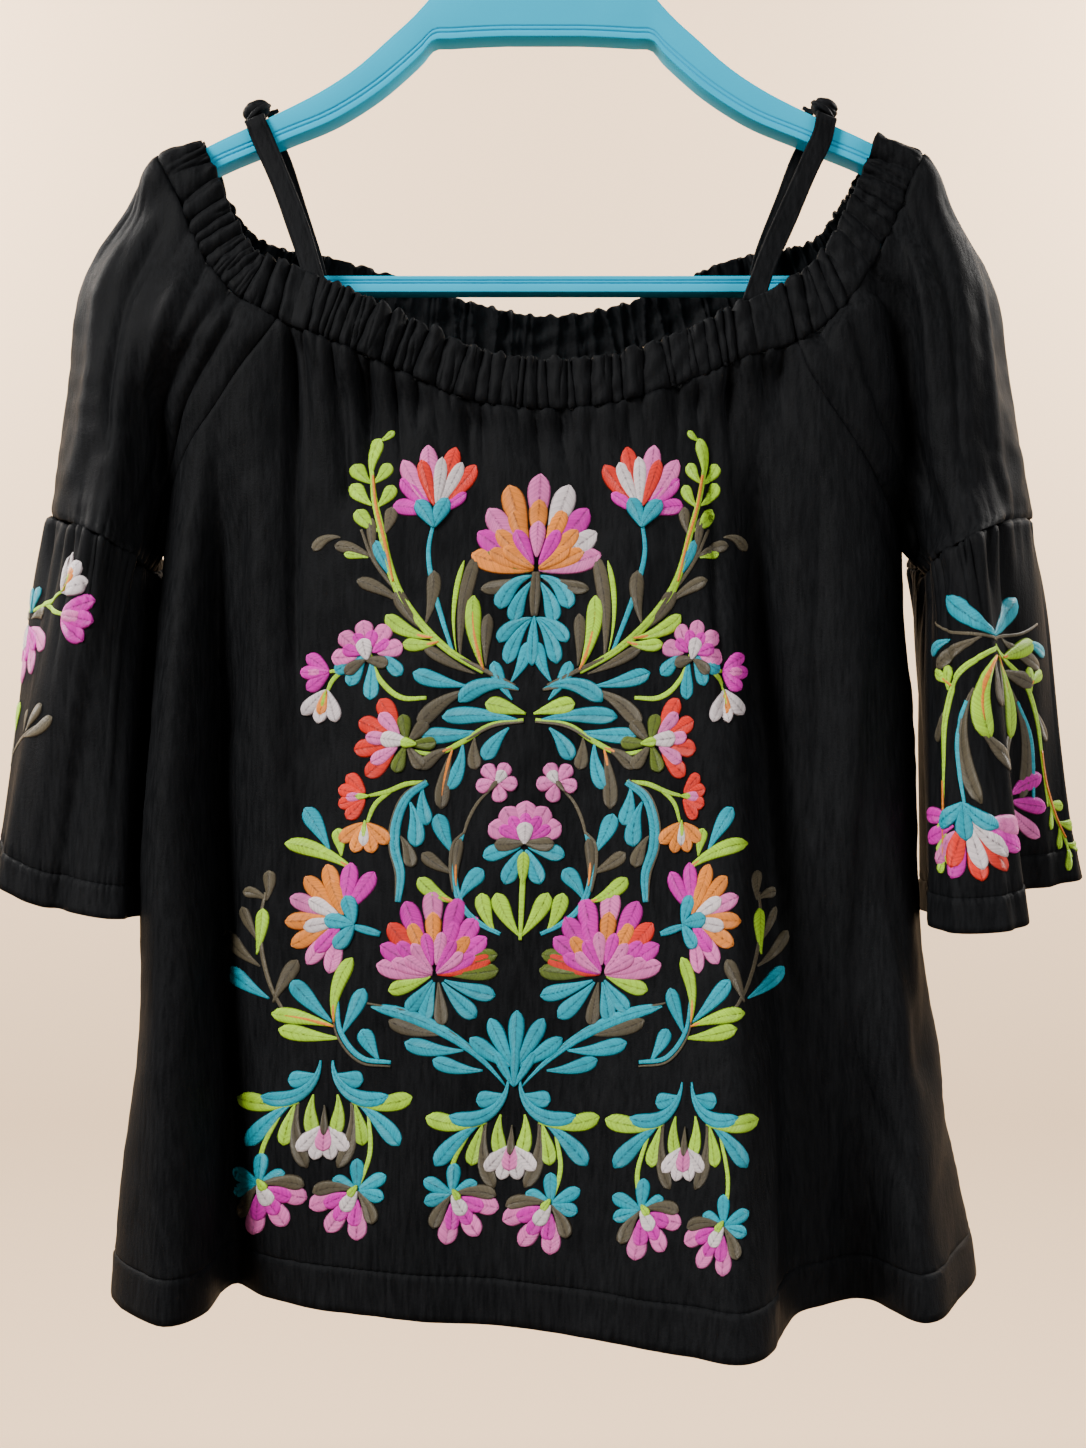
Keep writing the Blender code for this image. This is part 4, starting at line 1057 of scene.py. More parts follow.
def ribbedBar(name, nodes, stations, depth):
    # a gridded face, hollowed at its grooves, then drawn out from station to station
    look = hangerLook
    rows = sectionRows(stations[0])
    bpy.ops.object.select_all(action="DESELECT")
    bpy.ops.mesh.primitive_grid_add(x_subdivisions=len(rows) - 1, y_subdivisions=1, size=1.0,
                                    location=(0, 0, 0))
    openMesh()
    bpy.ops.transform.resize(value=(1, depth, 1), center_override=(0, 0, 0))
    for k, (x, z) in enumerate(rows):
        start = -0.5 + k / (len(rows) - 1)
        pick(lambda point: abs(point.x - start) < 1e-5 and abs(point.z) < 1e-9)
        if k in look["hollow"]:
            share = 1.0 - 2 * look["deep"] / depth
            bpy.ops.transform.resize(value=(1, share, 1), center_override=(start, 0, 0))
        bpy.ops.transform.translate(value=(x - start, 0, z))
    bpy.ops.mesh.select_all(action="SELECT")
    for row in stations[1:]:
        following = sectionRows(row)
        shift = following[-1] - rows[-1]
        bpy.ops.mesh.extrude_region_move(TRANSFORM_OT_translate={"value": (shift[0], 0, shift[1])})
        for old, new in zip(rows, following):
            moved = old + shift
            if np.linalg.norm(new - moved) > 1e-7:
                pick(near(*moved))
                bpy.ops.transform.translate(value=(new[0] - moved[0], 0, new[1] - moved[1]))
        rows = following
        spots = [near(*spot) for spot in rows]
        pick(lambda point: any(spot(point) for spot in spots))
    bevelled(closeMesh(), look["edge"], 3)
    finished(name, nodes)


def makeHook():
    look = hangerLook
    centreZ = -look["hookInside"]
    reach = look["hookInside"] + look["wire"]
    bpy.ops.object.select_all(action="DESELECT")
    bpy.ops.mesh.primitive_circle_add(vertices=20, radius=look["wire"], fill_type="NGON",
                                      location=(0, 0, plateTop))
    openMesh()
    centre = Vector((0.0, 0.0, plateTop))
    route = [(0.0, -0.0565), (0.0022, -0.0525), (0.0075, -0.0492)]
    route += [(reach * cos(a), centreZ + reach * sin(a)) for a in np.radians(np.arange(-58, 213, 6))]
    points = [centre] + [Vector((x, 0.0, z)) for x, z in route]
    heading = Vector((0, 0, 1))
    for i in range(1, len(points)):
        ahead = (points[i] - points[i - 1]).normalized()
        if i + 1 < len(points):
            ahead = (ahead + (points[i + 1] - points[i]).normalized()).normalized()
        bpy.ops.mesh.extrude_region_move(TRANSFORM_OT_translate={"value": tuple(points[i] - points[i - 1])})
        turn = heading.cross(ahead).y  # the sine of a small turn
        bpy.ops.transform.rotate(value=-turn, orient_axis="Y", center_override=tuple(points[i]))
        heading = ahead
    bevelled(closeMesh(), look["hookEnd"], 3)
    finished("hook", ["hanger_hook"], 50)


def eased(table, count):
    # more stations on a smooth line through the given ones
    table = np.array(table)
    reach = reaches(table)
    return [tuple(row) for row in hermite(reach, table, np.linspace(0.0, reach[-1], count))]


def otherSide(stations):
    return [(-row[0], row[1], -row[2], row[3]) for row in reversed(stations)]


makeHook()
plateHalf = -armTable[0][0]
plateSide = [(-x, z, -x, plateFoot + plateArch * (1.0 - (x / plateHalf) ** 2)) for x, z in plateTable]
leftSide = eased(list(armTable[::-1]) + plateSide, 46)
ribbedBar("arms_and_plate", ["hanger_arm_left", "hanger_plate", "hanger_arm_right"],
          leftSide + otherSide(leftSide), hangerLook["depth"])
barHalf = eased(barTable[:5], 24) + [barTable[5]]
ribbedBar("bar", ["hanger_bar"], barHalf + otherSide(barHalf), hangerLook["barDepth"])
print("hanger moulded")


# the embroidery: satin stitch laid on the cloth, drawn in millimetres from its own middle line

threads = {
    "teal": (0.0, 0.42, 0.56), "lime": (0.48, 0.86, 0.03), "magenta": (0.80, 0.012, 0.52),
    "pink": (0.95, 0.20, 0.58), "orange": (1.0, 0.30, 0.035), "red": (0.92, 0.035, 0.02),
    "white": (0.90, 0.80, 0.82), "grey": (0.112, 0.094, 0.058), "olive": (0.12, 0.17, 0.018),
}
teal, lime, magenta, pink, orange, red, white, grey, olive = threads
stitchLook = {"stations": 15, "lift": 0.00075, "sink": 0.00012, "thread": 0.00058, "layer": 0.00030,
              "unevenness": 0.000007, "broadFrom": 3.2, "broadSlant": 0.75, "thinSlant": 0.3}
# A satin stitch across its width: places from edge to edge, and how high the thread stands there.
acrossPlaces = np.array([-1.0, -0.8, -0.42, 0.0, 0.42, 0.8, 1.0])
acrossHeights = np.array([0.0, 0.62, 0.98, 0.80, 0.98, 0.62, 0.0])
shapes = []  # one entry for each satin-stitched shape: layer, path, widths, colour
# Where a motif's own middle is, and whether it's drawn as written, 1, or mirrored, -1.
pen = {"x": 0, "z": 0, "side": 1}


def spot(x, z):
    return pen["x"] + pen["side"] * x, pen["z"] + z


def bentPath(foot, angle, length, bend, count):
    # from the foot along a compass angle, 0 straight up and 90 to the right, bowed sideways
    t = np.linspace(0.0, 1.0, count)
    heading = np.radians(angle) + np.radians(bend) * (t - 0.25)
    step = length / (count - 1)
    x = foot[0] + np.concatenate(([0.0], np.cumsum(np.sin(heading[:-1]) * step)))
    z = foot[1] + np.concatenate(([0.0], np.cumsum(np.cos(heading[:-1]) * step)))
    return np.stack((x, z), axis=1)


def addShape(x, z, angle, length, bend, layer, widths, colour):
    path = bentPath(spot(x, z), pen["side"] * angle, length, pen["side"] * bend, stitchLook["stations"])
    shapes.append((layer, path[:len(widths)], widths, colour))


def petal(x, z, angle, length, width, colour, bend=0.0, layer=0):
    # round-ended, widest near its tip
    t = np.linspace(0.0, 1.0, stitchLook["stations"])
    swell = t**0.72 * (1.0 - t**4.6)**0.75
    widths = width * 1.08 * (0.12 + 0.88 * swell / swell.max())
    widths[-1] = width * 0.14
    addShape(x, z, angle, length, bend, layer, widths, colour)


def leaf(x, z, angle, length, width, colour, bend=0.0, layer=0, inner=None):
    # pointed, with a second colour laid along its middle where one is given
    t = np.linspace(0.0, 1.0, stitchLook["stations"])
    bend *= 1.3
    swell = t**1.05 * (1.0 - t**4.8)**0.7
    widths = width * (0.14 + 0.98 * swell / swell.max())
    widths[-1] = width * 0.14
    addShape(x, z, angle, length, bend, layer, widths, colour)
    if inner:
        widths = width * 0.28 * np.sin(pi * np.linspace(0.15, 0.93, len(t) - 3))
        addShape(x, z, angle, length, bend, layer + 1, widths, inner)


def stem(points, width, colour, layer=0):
    points = np.array([spot(x, z) for x, z in points], float)
    reach = reaches(points)
    count = max(8, int(reach[-1] / 1.6))
    path = hermite(reach, points, np.linspace(0.0, reach[-1], count))
    t = np.linspace(0.0, 1.0, count)
    taper = 0.45
    shapes.append((layer, path, width * (taper + (1 - taper) * np.sin(pi * (0.12 + 0.8 * t))), colour))


def fan(x, z, angle, spread, length, width, colours, bend=0.0, layer=0, start=0.0, arch=0.0):
    # petals spread evenly about an angle; arch makes the outer ones shorter
    for i, colour in enumerate(colours):
        share = (i / (len(colours) - 1) - 0.5) if len(colours) > 1 else 0.0
        turn = angle + share * spread
        foot = (x + start * sin(radians(turn)), z + start * cos(radians(turn)))
        long = length * (1.0 - arch * abs(share) * 2)
        petal(*foot, turn, long, width, colour, -bend * share * 2, layer + (i % 2) * 0.5)


# A lotus's three rings of petals: spread, the oval's half width and height, longest petal, width, layer.
lotusRings = ((170, 37, 53, 30, 12.6, 0), (150, 28, 39, 24, 10.0, 1), (124, 21, 27, 20, 8.6, 2.5))


def lotus(x, z, lean, size, *ringColours):
    # the petals end on ovals, so that the upper ones stand up behind the lower ones
    for colours, (spread, wide, tall, longest, width, layer) in zip(ringColours, lotusRings):
        for i, colour in enumerate(colours):
            turn = (i / (len(colours) - 1) - 0.5) * spread
            reach = size / ((sin(radians(turn)) / wide)**2 + (cos(radians(turn)) / tall)**2)**0.5
            long = min(reach - 1.5 * size, longest * size * (1.0 + 0.25 * abs(turn) / 84))
            angle = radians(lean + turn)
            foot = (x + (reach - long) * sin(angle), z + (reach - long) * cos(angle))
            petal(*foot, lean + turn * 0.93, long, width * size, colour, -turn * 0.16, layer + (i % 2) * 0.4)


def bothSides(*motifs):
    # each motif is drawn mirrored first, then as written
    for side in (-1, 1):
        pen["side"] = side
        for motif in motifs:
            motif()


def sepals():
    # the leaves at the top lotus's foot
    leaf(2, -383, 122, 24, 8.5, teal, 55, 0.6)
    leaf(2, -386, 150, 22, 8.0, teal, 30, 0.4)
    leaf(1, -404, 115, 21, 7.0, teal, 45)
    leaf(1, -404, 146, 26, 7.5, teal, 28)
    leaf(9, -445, 34, 22, 6.5, teal, -22)


def scroll():
    # the tall scroll with its lobed leaves
    stem([(24, -431), (41, -421), (58, -405), (68, -391), (74, -376), (78, -360), (82, -345),
          (84, -331)], 4.6, lime)
    stem([(71, -386), (76, -366), (81, -348), (83, -333)], 1.8, orange, 2)
    leaf(84, -335, -4, 21, 6.5, lime, -26)
    leaf(81, -316, -62, 9, 3.4, lime, 30)
    for x, z, angle, long in ((84, -337, 50, 13), (83, -348, 50, 15), (79, -361, 54, 16)):
        leaf(x, z, angle, long, 7.4, lime, -28)
    for x, z, angle, long, colour in ((83, -337, -46, 13, lime), (81, -349, -44, 14, lime),
                                      (77, -363, -22, 15, grey)):
        leaf(x, z, angle, long, 6.4, colour, 26)


def scrollBranches():
    # branches off the scroll
    leaf(68, -388, 32, 26, 6.5, teal, -8)
    stem([(63, -396), (73, -386), (83, -372), (88, -360)], 2.4, grey)
    leaf(66, -397, 58, 26, 6.5, grey, 18)
    leaf(80, -376, 12, 22, 5.0, grey, -16)
    leaf(82, -374, 66, 20, 6.0, grey, 24)
    leaf(98, -364, 100, 16, 5.5, grey, 62)
    leaf(84, -374, 78, 12, 4.5, lime, 10)
    leaf(54, -407, -12, 27, 7.0, grey, 20)
    leaf(55, -410, 42, 25, 7.0, grey, -26)
    leaf(50, -414, 74, 27, 7.5, lime, -34, 1, orange)
    leaf(47, -416, 100, 18, 6.5, lime, -28, 1, orange)


def leaningLeaves():
    # the leaning leaves inside it
    leaf(36, -424, -2, 52, 7.0, grey, -18)
    leaf(38, -421, 4, 46, 2.6, lime, -24, 1)
    leaf(24, -430, 16, 38, 8.0, lime, -22, 1, orange)
    leaf(23, -428, 2, 26, 6.0, grey, -10)


def tulip():
    # the tulip on its teal stem
    stem([(40, -421), (46, -404), (51, -388), (54, -370), (52, -356)], 2.9, teal)
    petal(54, -352, 74, 19, 8.4, magenta, 22, 0)
    petal(53, -351, 44, 23, 8.8, magenta, 6, 0.4)
    fan(52, -353, -4, 72, 31, 8.8, [red, red, pink, pink], 8, 0.2, 6, 0.16)
    petal(50, -352, -52, 17, 6.4, magenta, -6, 0.6)
    fan(51, -351, -4, 46, 24, 7.2, [white, white, red], 8, 1.5, 3)
    fan(52, -359, 4, 50, 16, 8.0, [teal, teal], -18, 3)


def scrollFoot():
    # the foot of the scroll
    stem([(8, -438), (22, -431), (36, -424)], 2.6, grey, 1)
    leaf(28, -432, 66, 30, 5.5, grey, -14)
    leaf(10, -436, -28, 22, 7.0, teal, 20)
    leaf(32, -438, 80, 28, 8.0, teal, -14)
    leaf(30, -440, 116, 32, 8.0, grey, 34)
    stem([(6, -440), (18, -438), (32, -438)], 2.4, grey, 1)
    leaf(6, -440, 84, 33, 8.5, teal, 62, 1)
    leaf(2, -452, 74, 21, 8.5, lime, 6, 1)


def sideFlower():
    # the side flower and its two buds
    stem([(52, -444), (64, -444), (76, -434), (81, -422)], 3.0, lime)
    leaf(82, -420, 152, 20, 7.5, teal, 10)
    leaf(80, -424, 182, 21, 7.5, teal, -6)
    leaf(84, -422, 124, 17, 7.0, teal, -8)
    leaf(76, -420, -140, 17, 7.0, teal, 8)
    fan(82, -423, 10, 168, 13, 9.0, [pink] * 5, 6, 0.5, 5)
    fan(82, -423, 10, 126, 10, 7.2, [magenta] * 4, 6, 1.5, 3)
    petal(82, -425, 14, 11, 8.4, white, 0, 3)
    fan(83, -425, 12, 220, 12, 6.4, [grey, grey], -20, 2)
    stem([(86, -425), (92, -429), (101, -431)], 2.8, lime)
    fan(101, -431, 92, 80, 14, 7.2, [magenta] * 3, 12, 1)
    petal(102, -431, 92, 10, 5.4, pink, 0, 2)
    stem([(92, -429), (99, -435), (102, -442)], 2.6, lime)
    fan(102, -440, 168, 66, 17, 7.4, [white] * 3, 8, 1)
    petal(102, -440, 168, 13, 6.0, orange, 0, 2)
    petal(102, -440, 168, 9, 2.6, lime, 0, 3)


def wingAndRedFlower():
    # teal wing over the red flower
    stem([(3, -455), (20, -458), (33, -466), (47, -472), (60, -470)], 3.0, lime)
    stem([(3, -456), (18, -458), (31, -465)], 1.8, grey, 1)
    leaf(6, -455, 84, 38, 8.5, teal, 14)
    leaf(24, -461, 96, 30, 8.0, teal, -10)
    leaf(10, -459, 138, 20, 8.0, teal, 22)
    leaf(27, -464, 180, 16, 6.8, grey, 16)
    leaf(33, -467, 172, 24, 7.6, teal, -30)
    leaf(38, -470, 168, 30, 7.4, grey, 14, 0, orange)
    leaf(38, -469, 116, 19, 6.6, grey, 32, 0, orange)
    fan(62, -466, 82, 104, 18, 9.2, [red] * 4, 8, 0, 7)
    fan(62, -466, 82, 84, 15, 7.4, [pink] * 3, 8, 1.5, 4)
    petal(60, -466, 82, 14, 8.6, white, 0, 3)
    for turn, colour in ((8, olive), (-42, grey), (-88, olive), (214, grey), (160, olive)):
        leaf(61, -467, turn, 15, 6.8, colour, 6, 1)
    petal(56, -467, 82, 8, 5.2, lime, 0, 4)


def archedSpray():
    # the arched teal spray with a red and an orange bud
    stem([(50, -486), (60, -487), (70, -491), (79, -493)], 2.8, lime)
    stem([(50, -486), (59, -493), (64, -505), (64.5, -519), (61, -532), (62, -546)], 5.6, teal)
    stem([(51, -485), (61, -492), (66.5, -505), (67, -519), (63.5, -532), (63, -546)], 1.5, grey, 1)
    leaf(52, -489, 184, 19, 7.5, teal, 20)
    leaf(58, -496, 196, 23, 8.2, teal, -26)
    leaf(62, -513, 208, 17, 6.8, grey, -26)
    fan(79, -493, 92, 96, 13, 7.4, [red] * 4, 10, 1, 2)
    petal(79, -493, 92, 11, 5.6, pink, 0, 2)
    petal(78, -493, 92, 7, 3.4, lime, 0, 3)
    stem([(67, -490), (75, -497), (79, -507)], 2.6, lime)
    fan(79.5, -506, 178, 104, 15, 7.6, [orange] * 4, 10, 1, 1)
    petal(79.5, -506, 178, 12, 5.4, white, 0, 2)
    petal(79.5, -505, 178, 9, 2.8, lime, 0, 3)


def smallFlower():
    # a small pink flower on its own stem
    stem([(31, -514), (28, -504), (23, -495), (18, -490)], 1.9, grey)
    fan(15, -486, -30, 272, 10.0, 7.6, [pink] * 5, 0, 1, 0.5)
    petal(15, -487, -30, 7.5, 6.0, white, 0, 3)
    petal(19, -491, -40, 7, 2.8, grey, 0, 4)


def innerScroll():
    # the inner scroll below it
    stem([(31, -512), (34, -524), (33, -540), (29, -549), (20, -557), (10, -562)], 3.6, teal)
    stem([(30, -511), (35, -516), (36.5, -526), (34.5, -541)], 2.0, grey, 1)
    leaf(33, -538, 2, 24, 5.0, grey, -18, 1, orange)
    leaf(35, -522, 28, 22, 8.2, teal, -14)
    leaf(34, -532, 62, 20, 6.8, grey, -14)
    leaf(31, -545, -30, 19, 8.2, teal, -24)
    leaf(33, -546, 66, 23, 7.6, lime, -30, 0, orange)
    leaf(13, -561, 26, 21, 7.6, lime, -20)


def leafPair():
    # the leaf pair at the side
    leaf(97, -520, 30, 25, 8.6, teal, 8)
    leaf(83, -531, 62, 40, 7.8, lime, 24, 0, orange)
    leaf(91, -523, 8, 14, 6.8, lime, 6)


def greatLotus():
    # the great lotus, leaning outwards
    lotus(42, -582, 4, 0.80,
          [red, magenta, magenta, magenta, pink, magenta, red, magenta, pink],
          [magenta, orange, magenta, orange, orange, magenta, pink],
          [pink, magenta, pink, magenta, pink, pink])
    leaf(37, -579, -72, 27, 7.5, olive, -12)
    leaf(37, -582, -88, 27, 8.0, olive, 10)
    leaf(37, -585, -110, 27, 8.0, teal, 12)
    leaf(38, -586, -138, 25, 8.4, teal, 10)
    leaf(40, -586, -172, 22, 6.8, grey, -4)
    leaf(42, -586, 166, 20, 7.8, teal, 6)
    leaf(43, -585, 143, 20, 7.6, teal, -4)
    leaf(44, -583, 112, 22, 7.4, lime, -12)


def manyColouredFlower():
    # the many-coloured flower at the side, joined by its teal cup
    stem([(70, -562), (77, -560), (84, -558)], 4.4, teal, 1)
    fan(90, -554, 68, 208, 24, 8.8,
        [magenta, magenta, orange, orange, pink, orange, orange, pink, pink], 8, 0, 4)
    fan(88, -555, 80, 120, 19, 8.0, [orange, white, white, magenta], 8, 1.5, 2)
    fan(83, -557, 80, 128, 15, 8.4, [teal] * 3, 12, 3, 0)


def edgeSprig():
    # the thin sprig at the edge
    stem([(114, -604), (122, -591), (128, -573), (130, -556), (128, -541)], 2.4, grey)
    leaf(127, -545, -6, 15, 6.0, grey, 20)
    leaf(127, -545, 62, 13, 5.5, grey, 30)
    leaf(131, -572, -8, 23, 6.4, lime, 10)
    leaf(129, -578, 52, 26, 7.0, grey, -20)
    leaf(122, -596, -26, 24, 7.4, grey, -8)
    leaf(124, -594, 58, 27, 7.8, teal, -12)
    leaf(130, -566, 30, 20, 5.0, grey, -10)


def lowerLeaves():
    # the leaf group under the lotus
    stem([(62, -626), (76, -624), (88, -610), (90, -595)], 3.0, teal)
    stem([(62, -628), (77, -626), (89.5, -612), (92, -596)], 1.4, grey, 1)
    leaf(91, -606, -4, 34, 7.4, lime, -35, 1, orange)
    leaf(92, -606, 48, 30, 8.6, teal, -8)
    leaf(91, -608, 76, 32, 7.6, lime, 8, 1, orange)
    leaf(88, -614, 84, 31, 7.6, lime, -10)
    leaf(87, -612, -25, 25, 7.8, teal, 4)
    leaf(68, -625, 32, 18, 8.0, teal, -6)


def longScroll():
    # the long scroll that meets in the middle
    leaf(4, -638, 50.8, 81.5, 6.4, teal, 33)
    stem([(75, -596.4), (55, -600.6), (35.5, -609.3), (18, -621.6)], 1.6, grey, 1)
    leaf(36, -612, 82, 29, 7.2, grey, -22)
    leaf(26, -620, 88, 30, 8.0, teal, -20)
    leaf(16, -630, 84, 26, 7.4, teal, -22)


def stemFoot():
    # the leaf at the foot of the middle flower's stem
    leaf(0.5, -563, 34, 25, 8.2, lime, -14)


# The sprays along the hem: where each stands, and where its left and its right flower hang.
hangingSprays = ((-94, -625, (31, -62), (18, -65)), (0, -635, (29, -57), (21, -62)),
                 (90, -636, (24, -64), (26, -72)))


def hangingRow():
    for x, z, *flowers in hangingSprays:
        for side, (across, drop) in zip((-1, 1), flowers):
            pen.update(x=x, z=z, side=side)
            leaf(3, 0, 146, 40, 7.6, teal, -88, 1)
            leaf(4, -7, 104, 15, 8.2, teal, -8)
            leaf(13, -21, 92, 31, 8.6, lime, -26)
            leaf(16, -21, 130, 31, 8.6, teal, 16)
            leaf(15, -22, 165, 21, 7.4, lime, 8)
            leaf(13, -21, 179, 34, 7.4, grey, 38, -1)
            leaf(6, -17, 176, 21, 7.2, lime, 28)
            # a flower hanging on its lime stem
            stem([(22, -27), ((across + 29) / 2, (drop - 27) / 2), (across, drop)], 2.6, lime)
            for turn, long in ((-3, 16), (62, 16), (106, 14), (-64, 14)):
                petal(across, drop, turn, long, 7.2, teal, 0, -1)
            fan(across, drop, 215, 76, 19, 9.6, [pink] * 3, 10 * side, 0, 6)
            fan(across, drop, 215, 66, 14, 8.0, [magenta] * 3, 6 * side, 1, 4)
            leaf(across, drop, 278, 23, 7.0, grey, -34, 1.5)
            leaf(across, drop, 146, 19, 7.0, grey, 26, 1.5)
            petal(across, drop, 215, 12, 8.2, white, 0, 3)
            petal(across, drop + 3, 215, 7, 4.4, lime, 0, 4)
        # the bell in the middle of the spray
        fan(0, -32, 180, 92, 17, 8.0, [white] * 4, 10, 1, 1)
        petal(0, -31, 180, 14, 9.4, pink, 0, 2.5)
        leaf(0, -22, 180, 15, 4.0, grey, 0, 4)
    pen.update(x=0, z=0)


def drawFront():
    # the top lotus, on its sepals and stem
    fan(0, -383, 0, 215, 24, 7, [grey, olive, olive, olive, olive, grey], 20, -3, 4)
    lotus(0, -380, 0, 0.90, [orange, magenta, pink, orange, pink, white, magenta, white, pink],
          [orange] * 7, [orange, magenta, pink, magenta, orange])
    stem([(0, -381), (0, -392), (0, -403)], 6.0, grey, 1)
    bothSides(sepals)
    petal(0, -403, 180, 25, 6.5, teal, 0, 1)
    bothSides(scroll, scrollBranches, leaningLeaves, tulip, scrollFoot, sideFlower)
    bothSides(wingAndRedFlower, archedSpray, smallFlower, innerScroll, leafPair)
    # the flower in the middle, on its lime stem
    fan(0, -518, 180, 156, 19, 8.4, [teal] * 4, 14, -1, 2)
    fan(0, -515, 0, 136, 16.5, 10.8, [pink] * 5, 8, 0, 3)
    fan(0, -516, 0, 118, 13.0, 6.6, [magenta] * 5, 6, 1, 2)
    fan(0, -516, 0, 196, 15, 7.6, [grey, grey], 20, 2, 0)
    petal(0, -517, 0, 11, 8.5, white, 0, 3)
    stem([(0, -521), (0, -540), (0, -565)], 3.0, lime, 1)
    petal(0, -537, 0, 16, 6.5, lime, 0, 2)
    bothSides(stemFoot)
    bothSides(greatLotus, manyColouredFlower, edgeSprig, lowerLeaves, longScroll)
    # the leaves where the long scrolls meet
    fan(0, -629, 0, 118, 27, 8.0, [teal] * 5, 14, 1, 2, 0.05)
    fan(0, -638, 0, 60, 20, 5.0, [teal] * 3, 6, 2, 0)
    hangingRow()


def stitchMaterial():
    finish = Finish("embroidery thread", Specular_IOR_Level=0.5, IOR=1.42)
    colour = finish.node("ShaderNodeAttribute", {"attribute_name": "threadColour"})
    thread = finish.node("ShaderNodeAttribute", {"attribute_name": "threadAt"}, output=2)
    across = finish.node("ShaderNodeAttribute", {"attribute_name": "acrossAt"}, output=2)
    ridge = (thread * (2 * pi)).sine()
    single = finish.node("ShaderNodeTexWhiteNoise", {"noise_dimensions": "1D"},
                         {"W": finish.node("ShaderNodeMath", {"operation": "FLOOR"}, {0: thread + 0.25})})
    speck = finish.noise(finish.place(), 850.0, 2.0, 0.6)
    vein = (1.0 - across.size() * 6.0).held() * (speck * 3.0 - 1.0).held()
    rim = (across.size() * 5.0 - 4.0).held()
    # the colour darkens in dashes along a broad shape's middle vein and at random from thread to thread; on
    # top of that it holds painted shade, in the troughs between the thread ridges and along the outer fifth
    # of a broad shape's width, where the stitch rounds down to the cloth
    shade = 1.0 - vein * 0.70 - rim * 0.55 - (0.5 - ridge * 0.5) ** 2.0 * 0.38 - single * 0.26
    dark = finish.node("ShaderNodeVectorMath", {"operation": "MULTIPLY"}, {0: colour, 1: (0.10, 0.08, 0.10)})
    tone = finish.mixed(shade.held(), dark, colour)
    finish.feed("Base Color", tone)
    finish.feed("Roughness", (0.38 - ridge * 0.08 + single * 0.14).held())
    height = ridge * 0.5 + single * 0.5 - vein * 1.2
    finish.feed("Normal", finish.bump(height, 0.7, 0.00022))
    return finish.material


# How the front's drawing lies: its middle line's x at the height z and its lean, and how far the
# right edge is drawn in from a place on, where the cloth turns into a fold.
frontLay = {"x": -0.0015, "z": -0.3315, "lean": 0.042, "narrowFrom": 0.070, "narrow": 0.82}


def ontoFront(grid, eye):
    # finds the place on the cloth that a point of the flat drawing falls on, looking from the front
    rows, columns = grid.shape[:2]
    faces = gridFaces(np.arange(rows * columns).reshape(rows, columns)).tolist()
    tree = BVHTree.FromPolygons([tuple(p) for p in grid.reshape(-1, 3)], faces)
    normals = normalsOf(grid, False)
    lay, eye = frontLay, Vector(eye)

    def place(x, z):
        x = min(x, lay["narrowFrom"] + (x - lay["narrowFrom"]) * lay["narrow"])
        aim = Vector((x + (lay["x"] + (z - lay["z"]) * lay["lean"]), 0.0, z)) - eye
        hit, _, face, _ = tree.ray_cast(eye, aim.normalized())
        return (None, None) if hit is None else (np.array(hit), normals[divmod(face, columns - 1)])

    return place


def roundFlounce(grid, turned, zeroAt, way):
    # takes the drawing round a flounce: x along the cloth from the share zeroAt, z as its level
    normals = normalsOf(grid, turned)
    rows, columns = grid.shape[:2]
    lengths = acrossLengths(grid)[rows // 2]
    start = np.interp(zeroAt * (columns - 1), np.arange(columns), lengths)

    def place(x, z):
        column = np.interp(start + way * x, lengths, np.arange(columns))
        j = min(int(column), columns - 2)
        share = column - j
        line = grid[:, j] * (1 - share) + grid[:, j + 1] * share
        if not line[-1, 2] < z < line[0, 2]:
            return None, None
        row = np.interp(-z, -line[:, 2], np.arange(rows))
        i = min(int(row), rows - 2)
        point = line[i] * (1 - row + i) + line[i + 1] * (row - i)
        return point, normals[i, j]

    return place


def placeShape(path, widths, place, wall, layer, level):
    # the shape's points on the cloth, raised along its normal; None where it misses the cloth
    look = stitchLook
    along = unit(np.gradient(path, axis=0))
    side = np.stack((along[:, 1], -along[:, 0]), axis=1)
    flat = path[:, None] + side[:, None] * (acrossPlaces[None, :, None] * widths[:, None, None] / 2)
    wide = np.clip(widths / 5.0, 0.35, 1.0)
    placed = np.empty((*flat.shape[:2], 3))
    for i, row in enumerate(flat):
        for k, point in enumerate(row):
            spot, normal = place(*(point * 0.001))
            if spot is None:
                return None
            if acrossHeights[k] == 0.0:
                high = wall / 2 - look["sink"] + max(layer - 1, 0) * look["layer"]
            else:
                high = wall / 2 + acrossHeights[k] * look["lift"] * wide[i] + level
            placed[i, k] = spot + normal * high
    return placed


